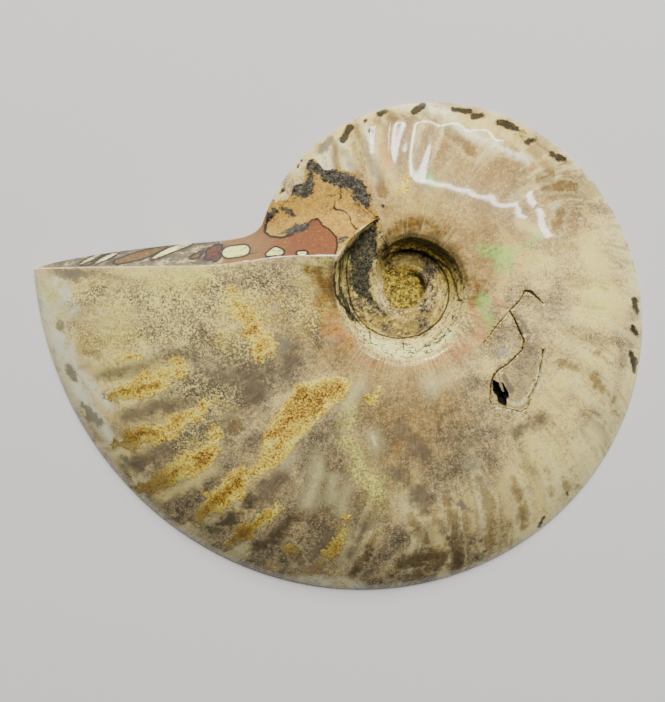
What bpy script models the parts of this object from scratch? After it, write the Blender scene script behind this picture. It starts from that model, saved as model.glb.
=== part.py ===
"""Half of a polished ammonite fossil, sawn through its plane of coiling.

Metres, +Z up. The sawn face lies on z = 0 and the coil axis is the Z axis. The mouth
opens towards +Y and reaches out to -X, and the shell coils from it through -Y, +X and
+Y back to -X, one whorl further in.

A place on the shell is a radius from the coil axis and a turn, in radians: 0 along -X,
near the mouth, and growing back towards the older whorls.
"""

import math

import bmesh
import bpy
import numpy as np
from mathutils import Vector

MM = 0.001
TURN = 2 * math.pi

# Driving dimensions
MOUTH_RADIUS = 78.6 * MM        # coil axis to the keel at the mouth
EXPANSION = 2.52                # growth of the keel's radius over one turn
KEEL_SWELL = 0.024              # how far the keel stands outside a true logarithmic spiral
KEEL_SWELL_TURN = 5.6           # the swell dies out again by this turn
THICKNESS = 0.236               # thickest point of a half whorl over its keel radius
THICKEST = 0.27                 # where that is, as a share of the keel radius
FLANK_FALL = (1.7, 1.35)        # exponents of the flank's fall to the keel
KEEL_DIVE = 1.5                 # how steeply its surface would run on below the sawn face

# The umbilicus: the shoulder and the foot of its wall, at these turns
UMBILICUS_TURNS = np.radians((-71, -57, -45, -24, 0, 35, 90, 180, 270, 325, 360, 450))
SHOULDER_RADII = np.array((16.3, 16.0, 15.5, 15.2, 14.6, 14.6, 15.0, 12.8, 10.9, 7.8, 6.9, 4.7)) * MM
FOOT_RADII = np.array((16.0, 15.3, 14.5, 13.2, 11.7, 11.4, 10.3, 9.6, 8.4, 5.6, 4.4, 4.1)) * MM
SHOULDER_ROUNDING = 0.055       # rounding over the keel radius
MOUTH_ROUNDING = 0.02           # the same where the wall is cut off at the mouth
MOUTH_ROUNDING_TURNS = (-0.4, 0.8)
PIT_FLOOR = 2.9 * MM            # height of the matrix that fills the oldest whorls

# The ground mouth: a straight edge over the flank, and a cove falling away behind it
MOUTH_OFFSETS = (6.3 * MM, 4.4 * MM)    # distance of its inner and outer part from the axis
MOUTH_RADII = (22 * MM, 42 * MM)
MOUTH_TURN_IN = 15.4 * MM       # inside this radius the edge runs straight to the axis
COVE_SLOPES = (1.38, 2.75)      # steepness behind the inner and the outer edge
COVE_RADII = (19 * MM, 38 * MM)
COVE_ROUNDING_RADII = np.array((16, 24, 36, 48)) * MM
COVE_ROUNDINGS = np.array((0.02, 7.0, 5.5, 1.0)) * MM
COVE_REACH = math.radians(110)  # how far behind its edge the ground mouth can lie
WALL_REACH = math.radians(44)   # how far behind it the mouth's own umbilical wall runs on

# Beside the mouth the older whorl is left unpolished, a step lower
CRUST_EDGE = -5.6 * MM          # along X
CRUST_DEPTH = 0.9 * MM
CRUST_STEP = 0.7 * MM           # width of the step
CRUST_REACH = (15.9 * MM, 16.2 * MM)    # radii between which it dies out
CRUST_RUN_OUT = (4.5 * MM, 10 * MM)     # and how far along Y it deepens

# The open hollow in the flank, and the crack that runs up from it
HOLLOW_PLACE = (20.0 * MM, -21.5 * MM)
HOLLOW_HALF_SIZES = (1.7 * MM, 2.8 * MM, 2.4 * MM)
HOLLOW_TILT = math.radians(25)
CRACK_ROUTE_MM = ((19.0, -18.5), (20.6, -17.3), (23.6, -15.1), (25.2, -12.9), (24.3, -9.4), (22.6, -5.7),
                  (24.5, -3.2), (25.7, -1.1), (28.2, -2.2), (29.5, -4.2))
CRACK_RADIUS = 0.3 * MM

# Mesh density
SHELL_COLUMNS, MOUTH_COLUMNS = 110, 30
EDGE_STEP = math.radians(0.3)   # from the mouth's edge to the first column behind it
FLANK_ROWS, WALL_ROWS, LEDGE_ROWS, PIT_ROWS = 17, 3, 6, 3
BEND_WEIGHT = 12 * MM           # a bend of one radian draws as many rows as this distance
FINE_STEPS = 80
THINNEST_WALL = 0.04 * MM

SHELL_COLOUR = (0.52, 0.44, 0.32, 1.0)
SHELL_ROUGHNESS = 0.28


def smooth_step(low, high, value):
    share = np.clip((value - low) / (high - low), 0, 1)
    return share * share * (3 - 2 * share)


def rounded_max(a, b, width):
    """The larger of two heights, with a fillet of that width where they cross."""
    near = np.maximum(width - np.abs(a - b), 0)
    return np.maximum(a, b) + near * near / (4 * width)


def rounded_min(a, b, width):
    return -rounded_max(-a, -b, width)


def keel_radius(turn):
    decay = math.log(EXPANSION) / TURN
    swell = KEEL_SWELL * np.sin(np.clip(turn / KEEL_SWELL_TURN, 0, 1) * math.pi)
    return MOUTH_RADIUS * np.exp(swell - decay * turn)


def shoulder_radius(turn):
    return np.interp(turn, UMBILICUS_TURNS, SHOULDER_RADII)


def foot_radius(turn):
    return np.interp(turn, UMBILICUS_TURNS, FOOT_RADII)


def flank_height(radius, turn):
    """Height of the flank of one whorl, falling from its thickest point to the keel."""
    keel = keel_radius(turn)
    share = radius / keel
    across = np.clip((share - THICKEST) / (1 - THICKEST), 0, 1)
    power, root = FLANK_FALL
    rise = (1 - across**power) ** (1 / root)
    beyond = np.maximum(share - 1, 0) * KEEL_DIVE
    return keel * (THICKNESS * rise - beyond)


def whorl_height(radius, turn):
    """Height of one whorl: its flank, rounded over the shoulder into the umbilical wall."""
    flank = flank_height(radius, turn)
    shoulder, foot = shoulder_radius(turn), foot_radius(turn)
    floor = np.maximum(flank_height(foot, turn + TURN), PIT_FLOOR)
    slope = (flank_height(shoulder, turn) - floor) / (shoulder - foot)
    wall = floor + (radius - foot) * slope
    full = smooth_step(*MOUTH_ROUNDING_TURNS, turn)
    rounding = MOUTH_ROUNDING + (SHOULDER_ROUNDING - MOUTH_ROUNDING) * full
    return rounded_min(flank, wall, rounding * keel_radius(turn))


def crust_drop(radius, turn):
    """How far the unpolished part of the older whorl lies below its polished flank."""
    x, y = -radius * np.cos(turn), -radius * np.sin(turn)
    beside = 1 - smooth_step(CRUST_EDGE - CRUST_STEP, CRUST_EDGE, x)
    within = 1 - smooth_step(*CRUST_REACH, radius)
    return CRUST_DEPTH * beside * within * smooth_step(*CRUST_RUN_OUT, y)


def mouth_lean(radius):
    """How far before turn 0 the mouth's edge lies at that radius, in radians."""
    inner, outer = MOUTH_OFFSETS
    offset = inner + (outer - inner) * smooth_step(*MOUTH_RADII, radius)
    return np.arcsin(offset / np.maximum(radius, MOUTH_TURN_IN))


def filling_height(radius, behind):
    """Height of the last whorl's filling, ground down in a cove behind the mouth's edge."""
    lean = mouth_lean(radius)
    gentle, steep = COVE_SLOPES
    slope = gentle + (steep - gentle) * smooth_step(*COVE_RADII, radius)
    swung = lean + behind
    distance = radius * (np.sin(np.minimum(swung, math.pi / 2)) - np.sin(lean)
                         + np.maximum(swung - math.pi / 2, 0))
    cove = whorl_height(radius, -lean) - slope * distance
    return np.minimum(cove, whorl_height(radius, -lean - behind))


def surface_height(radius, column):
    """Height at that radius, on the column at that angle from the mouth's edge, in radians."""
    turn = column - mouth_lean(radius)
    behind = TURN - column
    oldest = whorl_height(radius, turn + 2 * TURN)
    older = np.where(radius < foot_radius(turn + TURN), oldest, whorl_height(radius, turn + TURN))
    height = np.where(radius < foot_radius(turn), np.maximum(older, PIT_FLOOR), whorl_height(radius, turn))
    if behind < COVE_REACH:
        height = height - crust_drop(radius, turn)
        rounding = np.interp(radius, COVE_ROUNDING_RADII, COVE_ROUNDINGS)
        covered = rounded_max(filling_height(radius, behind), height, rounding)
        height = np.where(radius < foot_radius(turn - TURN), height, covered)
    return height


def halve(inside, outside, is_inside):
    """The radius between those two at which the test changes."""
    for _ in range(24):
        middle = (inside + outside) / 2
        if is_inside(middle):
            inside = middle
        else:
            outside = middle
    return inside


def outline_radius(column):
    """Where the surface comes down to the sawn face."""
    radii = np.linspace(MOUTH_TURN_IN, MOUTH_RADIUS * 1.05, 400)
    last = np.nonzero(surface_height(radii, column) > 0)[0][-1]
    return halve(radii[last], radii[last + 1], lambda radius: surface_height(radius, column) > 0)


def wall_top_radius(column):
    """Where the ground mouth cuts the top off the mouth's umbilical wall."""
    turn = column - TURN - mouth_lean(MOUTH_TURN_IN)
    foot, behind = foot_radius(turn), TURN - column
    top = halve(foot, MOUTH_TURN_IN + 3 * MM,
                lambda radius: filling_height(radius, behind) >= whorl_height(radius, turn))
    return max(top, foot + THINNEST_WALL)


def umbilicus_rows(turn):
    """The feet and shoulders that a ray crosses inwards from the last shoulder."""
    return [(shoulder_radius(turn), WALL_ROWS),
            (foot_radius(turn), LEDGE_ROWS),
            (shoulder_radius(turn + TURN), WALL_ROWS),
            (foot_radius(turn + TURN), PIT_ROWS)]


def feature_rows(column):
    """The radii that the column's points must meet, each with the rows from there inwards."""
    turn = column - mouth_lean(MOUTH_TURN_IN)
    rows = [(outline_radius(column), FLANK_ROWS)]
    if column >= TURN - WALL_REACH:
        rows += [(wall_top_radius(column), WALL_ROWS), (foot_radius(turn - TURN), LEDGE_ROWS)]
    return rows + umbilicus_rows(turn)


def column_points(column):
    """Points from the outline to the axis, closer together where the surface bends."""
    rows = feature_rows(column)
    ends = [radius for radius, _ in rows[1:]] + [0.0]
    points = []
    for (start, count), end in zip(rows, ends):
        # Closer samples at the outline, where the surface stands upright
        share = np.linspace(0, 1, FINE_STEPS) ** (1 if points else 2)
        radii = start + (end - start) * share
        heights = surface_height(radii, column)
        if not points:
            heights[0] = 0.0
        steps = np.hypot(np.diff(radii), np.diff(heights))
        lie = np.arctan2(np.diff(heights), -np.diff(radii))
        steps[1:] += BEND_WEIGHT * np.abs(np.diff(lie))
        run = np.concatenate([[0], np.cumsum(steps)])
        stops = np.linspace(0, run[-1], count, endpoint=False)
        for radius, height in zip(np.interp(stops, run, radii), np.interp(stops, run, heights)):
            angle = math.pi + column - mouth_lean(radius)
            points.append(Vector((radius * math.cos(angle), radius * math.sin(angle), height)))
    return points


def shell_angles():
    """Angles from the mouth's edge of the columns that cross no cut umbilical wall."""
    return np.linspace(0, TURN - WALL_REACH, SHELL_COLUMNS, endpoint=False)


def mouth_angles():
    """Angles of the columns behind the mouth's edge, closer together towards it."""
    share = np.linspace(1, 0, MOUTH_COLUMNS) ** 1.2
    return TURN - EDGE_STEP - (WALL_REACH - EDGE_STEP) * share


def join_columns(form, left, right):
    """Quads between two columns with the same rows."""
    for outer in range(len(left) - 1):
        form.faces.new((left[outer], right[outer], right[outer + 1], left[outer + 1]))


def zip_columns(form, left, right):
    """Triangles between two columns with different rows, taken in order of radius."""
    at_left = at_right = 0
    while at_left + at_right < len(left) + len(right) - 2:
        next_left = left[at_left + 1].co.xy.length if at_left + 1 < len(left) else -1
        next_right = right[at_right + 1].co.xy.length if at_right + 1 < len(right) else -1
        if next_left >= next_right:
            form.faces.new((left[at_left], right[at_right], left[at_left + 1]))
            at_left += 1
        else:
            form.faces.new((left[at_left], right[at_right], right[at_right + 1]))
            at_right += 1


def stitch_groups(form, shell, mouth):
    """Joins the shell's columns to the mouth's, which have a wall and a ledge more."""
    extra = FLANK_ROWS + WALL_ROWS + LEDGE_ROWS
    zip_columns(form, shell[-1][:FLANK_ROWS + 1], mouth[0][:extra + 1])
    join_columns(form, shell[-1][FLANK_ROWS:], mouth[0][extra:])
    shared = extra + WALL_ROWS
    join_columns(form, mouth[-1][:shared + 1], shell[0][:shared + 1])
    zip_columns(form, mouth[-1][shared:], shell[0][shared:])


def build_shell(collection):
    """The half as one closed solid: columns lofted round the axis over the flat sawn face."""
    form = bmesh.new()
    shell = [[form.verts.new(p) for p in column_points(angle)] for angle in shell_angles()]
    mouth = [[form.verts.new(p) for p in column_points(angle)] for angle in mouth_angles()]
    for group in (shell, mouth):
        for left, right in zip(group, group[1:]):
            join_columns(form, left, right)
    stitch_groups(form, shell, mouth)
    columns = shell + mouth
    axis = form.verts.new((0, 0, PIT_FLOOR))
    for left, right in zip(columns, columns[1:] + columns[:1]):
        form.faces.new((left[-1], right[-1], axis))
    form.faces.new([column[0] for column in reversed(columns)])
    bmesh.ops.recalc_face_normals(form, faces=form.faces)
    half = new_object("ammonite_half", form, collection)
    half.data.shade_smooth()
    half.data.set_sharp_from_angle(angle=math.radians(50))
    return half


def new_object(name, form, collection):
    mesh = bpy.data.meshes.new(name)
    form.to_mesh(mesh)
    form.free()
    piece = bpy.data.objects.new(name, mesh)
    collection.objects.link(piece)
    return piece


def place_on_flank(x, y):
    """The point of the surface over that place on the sawn face."""
    radius = math.hypot(x, y)
    column = (math.atan2(y, x) - math.pi + float(mouth_lean(radius))) % TURN
    return Vector((x, y, float(surface_height(radius, column))))


def hollow_cutter(collection):
    """An egg laid in the flank."""
    form = bmesh.new()
    bmesh.ops.create_uvsphere(form, u_segments=12, v_segments=8, radius=1)
    bmesh.ops.scale(form, verts=form.verts, vec=HOLLOW_HALF_SIZES)
    cutter = new_object("hollow_cutter", form, collection)
    cutter.location = place_on_flank(*HOLLOW_PLACE)
    cutter.rotation_euler.z = HOLLOW_TILT
    return cutter


def crack_cutter(collection):
    """A thin square rod along the crack, sunk to its middle in the flank."""
    route = bpy.data.curves.new("crack_route", "CURVE")
    route.dimensions = "3D"
    line = route.splines.new("POLY")
    line.points.add(len(CRACK_ROUTE_MM) - 1)
    for point, (x, y) in zip(line.points, CRACK_ROUTE_MM):
        point.co = (*place_on_flank(x * MM, y * MM), 1)
    route.bevel_depth = CRACK_RADIUS
    route.bevel_resolution = 0
    route.use_fill_caps = True
    swept = bpy.data.meshes.new_from_object(bpy.data.objects.new("crack_route", route))
    cutter = bpy.data.objects.new("crack_cutter", swept)
    collection.objects.link(cutter)
    return cutter


def cut(shell, cutter):
    """Takes the cutter's shape out of the shell, and keeps the cutter as a wire frame."""
    cutter.hide_render = True
    cutter.display_type = "WIRE"
    step = shell.modifiers.new(cutter.name, "BOOLEAN")
    step.operation = "DIFFERENCE"
    step.object = cutter


def polished_shell():
    material = bpy.data.materials.new("polished_shell")
    material.use_nodes = True
    shader = material.node_tree.nodes["Principled BSDF"]
    shader.inputs["Base Color"].default_value = SHELL_COLOUR
    shader.inputs["Roughness"].default_value = SHELL_ROUGHNESS
    shader.inputs["Metallic"].default_value = 0.0
    return material


def new_collection(name):
    collection = bpy.data.collections.new(name)
    bpy.context.scene.collection.children.link(collection)
    return collection


def main():
    for leftover in list(bpy.data.objects):
        bpy.data.objects.remove(leftover)
    shell = build_shell(new_collection("Ammonite fossil half"))
    shell.data.materials.append(polished_shell())
    cutters = new_collection("Cutters")
    cut(shell, hollow_cutter(cutters))
    cut(shell, crack_cutter(cutters))


main()
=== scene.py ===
"""The looks of half a polished ammonite fossil, sawn through its plane of coiling.

Metres, +Z up. The sawn face lies on z = 0 and the coil axis is the Z axis. A place on the
shell is a radius from the coil axis and a turn, in radians: 0 along -X, near the mouth,
and growing back towards the older whorls. Marks are given in millimetres.
"""

import math

import bmesh
import bpy
import numpy as np
from mathutils import Matrix, Vector


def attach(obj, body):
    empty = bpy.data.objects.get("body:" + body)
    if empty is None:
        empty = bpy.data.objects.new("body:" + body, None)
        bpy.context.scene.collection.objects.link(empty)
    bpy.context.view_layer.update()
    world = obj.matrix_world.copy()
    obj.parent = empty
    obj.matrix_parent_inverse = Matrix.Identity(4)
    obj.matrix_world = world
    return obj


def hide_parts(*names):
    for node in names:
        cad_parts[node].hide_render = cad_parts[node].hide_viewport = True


bl_info = {
    "name": "Polished ammonite half",
    "version": (1, 0, 0),
    "blender": (4, 5, 0),
    "location": "View3D > Sidebar > Fossil",
    "description": "Builds half of a polished ammonite fossil on a pale studio floor",
    "category": "Add Mesh",
}

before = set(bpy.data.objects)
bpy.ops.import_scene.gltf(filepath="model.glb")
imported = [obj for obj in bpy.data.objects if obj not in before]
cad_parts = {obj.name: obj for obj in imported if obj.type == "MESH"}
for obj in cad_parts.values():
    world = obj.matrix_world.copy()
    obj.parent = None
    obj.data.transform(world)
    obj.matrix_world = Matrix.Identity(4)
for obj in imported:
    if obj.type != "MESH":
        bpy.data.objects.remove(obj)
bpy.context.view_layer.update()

MM = 0.001
TURN = 2 * math.pi

# The coil, as the solid has it
MOUTH_RADIUS = 78.6 * MM        # coil axis to the keel at the mouth
EXPANSION = 2.52                # growth of the keel's radius over one turn
KEEL_SWELL = 0.024              # how far the keel stands outside a true logarithmic spiral
KEEL_SWELL_TURN = 5.6           # the swell dies out again by this turn
THICKNESS = 0.236               # thickest point of a half whorl over its keel radius
THICKEST = 0.27                 # where that is, as a share of the keel radius
FLANK_FALL = (1.7, 1.35)        # exponents of the flank's fall to the keel
KEEL_DIVE = 1.5                 # how steeply its surface would run on below the sawn face

# The umbilicus: the shoulder and the foot of its wall, at these turns
UMBILICUS_TURNS = np.radians((-71, -57, -45, -24, 0, 35, 90, 180, 270, 325, 360, 450))
SHOULDER_RADII = np.array((16.3, 16.0, 15.5, 15.2, 14.6, 14.6, 15.0, 12.8, 10.9, 7.8, 6.9, 4.7)) * MM
FOOT_RADII = np.array((16.0, 15.3, 14.5, 13.2, 11.7, 11.4, 10.3, 9.6, 8.4, 5.6, 4.4, 4.1)) * MM
SHOULDER_ROUNDING = 0.055       # rounding over the keel radius
MOUTH_ROUNDING = 0.02           # the same where the wall is cut off at the mouth
MOUTH_ROUNDING_TURNS = (-0.4, 0.8)       # from there to there it grows to the full one
PIT_FLOOR = 2.9 * MM            # height of the matrix that fills the oldest whorls

# The ground mouth: a straight edge over the flank, and a cove falling away behind it
MOUTH_OFFSETS = (6.3 * MM, 4.4 * MM)    # how far beside the coil axis the edge's line lies
MOUTH_RADII = (22 * MM, 42 * MM)        # it goes over from the first to the second between these
MOUTH_TURN_IN = 15.4 * MM       # inside this radius the edge heads straight for the axis
COVE_SLOPES = (1.38, 2.75)      # how steeply the cove falls, near the axis and far out
COVE_RADII = (19 * MM, 38 * MM)         # the radii between which that changes
COVE_ROUNDING_RADII = np.array((16, 24, 36, 48)) * MM
COVE_ROUNDINGS = np.array((0.02, 7.0, 5.5, 1.0)) * MM       # its fillet there, on the older whorl
COVE_REACH = math.radians(110)  # how far behind the edge the filling can show
WALL_REACH = math.radians(44)   # how far behind it the last whorl keeps its umbilical wall

# Beside the mouth the older whorl is left unpolished, a step lower
CRUST_EDGE = -5.6 * MM          # x of the step
CRUST_DEPTH = 0.9 * MM
CRUST_STEP = 0.7 * MM           # the width of the step
CRUST_REACH = (15.9 * MM, 16.2 * MM)    # it ends outwards between these radii
CRUST_RUN_OUT = (4.5 * MM, 10 * MM)     # and towards the mouth between these y

# Mesh density
EDGE_STEP = math.radians(0.3)   # from the mouth's edge to the first column behind it
WALL_ROWS, LEDGE_ROWS, PIT_ROWS, BASE_ROWS = 10, 24, 12, 10
COLUMN_CROWDING = 1.2           # the power by which columns crowd towards the mouth's edge
ROW_CROWDING = 2                # and the fine steps of a flank towards the keel
BEND_WEIGHT = 6 * MM            # a bend of one radian draws as many rows as a run of this length
FINE_STEPS = 240                # the steps in which a column is measured
OUTLINE_STEPS = 400             # and in which the outline is looked for
HALVINGS = 24                   # how often a search then halves what is left
OUTLINE_SEARCH = 1.05           # how far out the outline is looked for, over the mouth's radius
WALL_SEARCH = 3 * MM            # the wall's top is looked for this far outside the turn-in
THINNEST_WALL = 0.04 * MM       # the least that is left of that wall
TINY = 1e-9                     # stands in for a length of 0 in a division
ANGLE_SLACK = 1e-4              # the rounding of an angle that a vertex keeps, in radians
CRACK_BOX = ((16, -29), (33, 2))        # the corners of the flank's part with the crack, in mm
CRACK_REACH = 0.7               # how near the crack or the hollow a face is made finer, in mm
CRACK_CUTS = 3                  # each of those faces is split this many times
SHARP_ANGLE = math.radians(42)

# Relief that is too fine for the solid
RIBS_PER_TURN = 37
RIB_SWEEP = 0.10                # how far a rib leans towards the mouth at the keel, in radians
RIB_BEND = 0.6                  # where that starts, as a share of the keel radius
RIB_SPREAD = (0.52, 0.82, 0.95, 1.0)    # the same share: ribs rise, and die out again
HOLLOW_PLACE = (20.1, -21.6)    # in mm, as its half sizes are
HOLLOW_HALF_SIZES = (1.5, 2.6)
HOLLOW_TILT = math.radians(20)
HOLLOW_WAVES = ((0.16, 3, 1), (0.09, 7, 0))     # in its outline: the height, the count and the start
HOLLOW_DEPTH = 2.3 * MM
HOLLOW_LIP = 0.15               # how far the shard's outline stands clear of the hollow, in mm
FLAKE_STEP = 0.12 * MM
OCHRE_GRAIN = 0.05 * MM
LOWEST = 0.02 * MM              # the relief stops this far over the sawn face
SEED = 7
NOISE_GRID = 64                 # the cells along a side of the noise, after which it repeats

# The sawn face: chambers along the spiral, the last of them between these turns
CHAMBERS_PER_RADIAN = 4.6
LAST_CHAMBER = (3.34, 3.36)

FAR = 99.0                      # farther than any mark, in mm
BEYOND = 9                      # where the mouth's marks and edge can't reach, in mm
OUTER, RIM, UNDER = 0, 1, 2     # the parts of the mesh that a vertex can belong to

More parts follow.
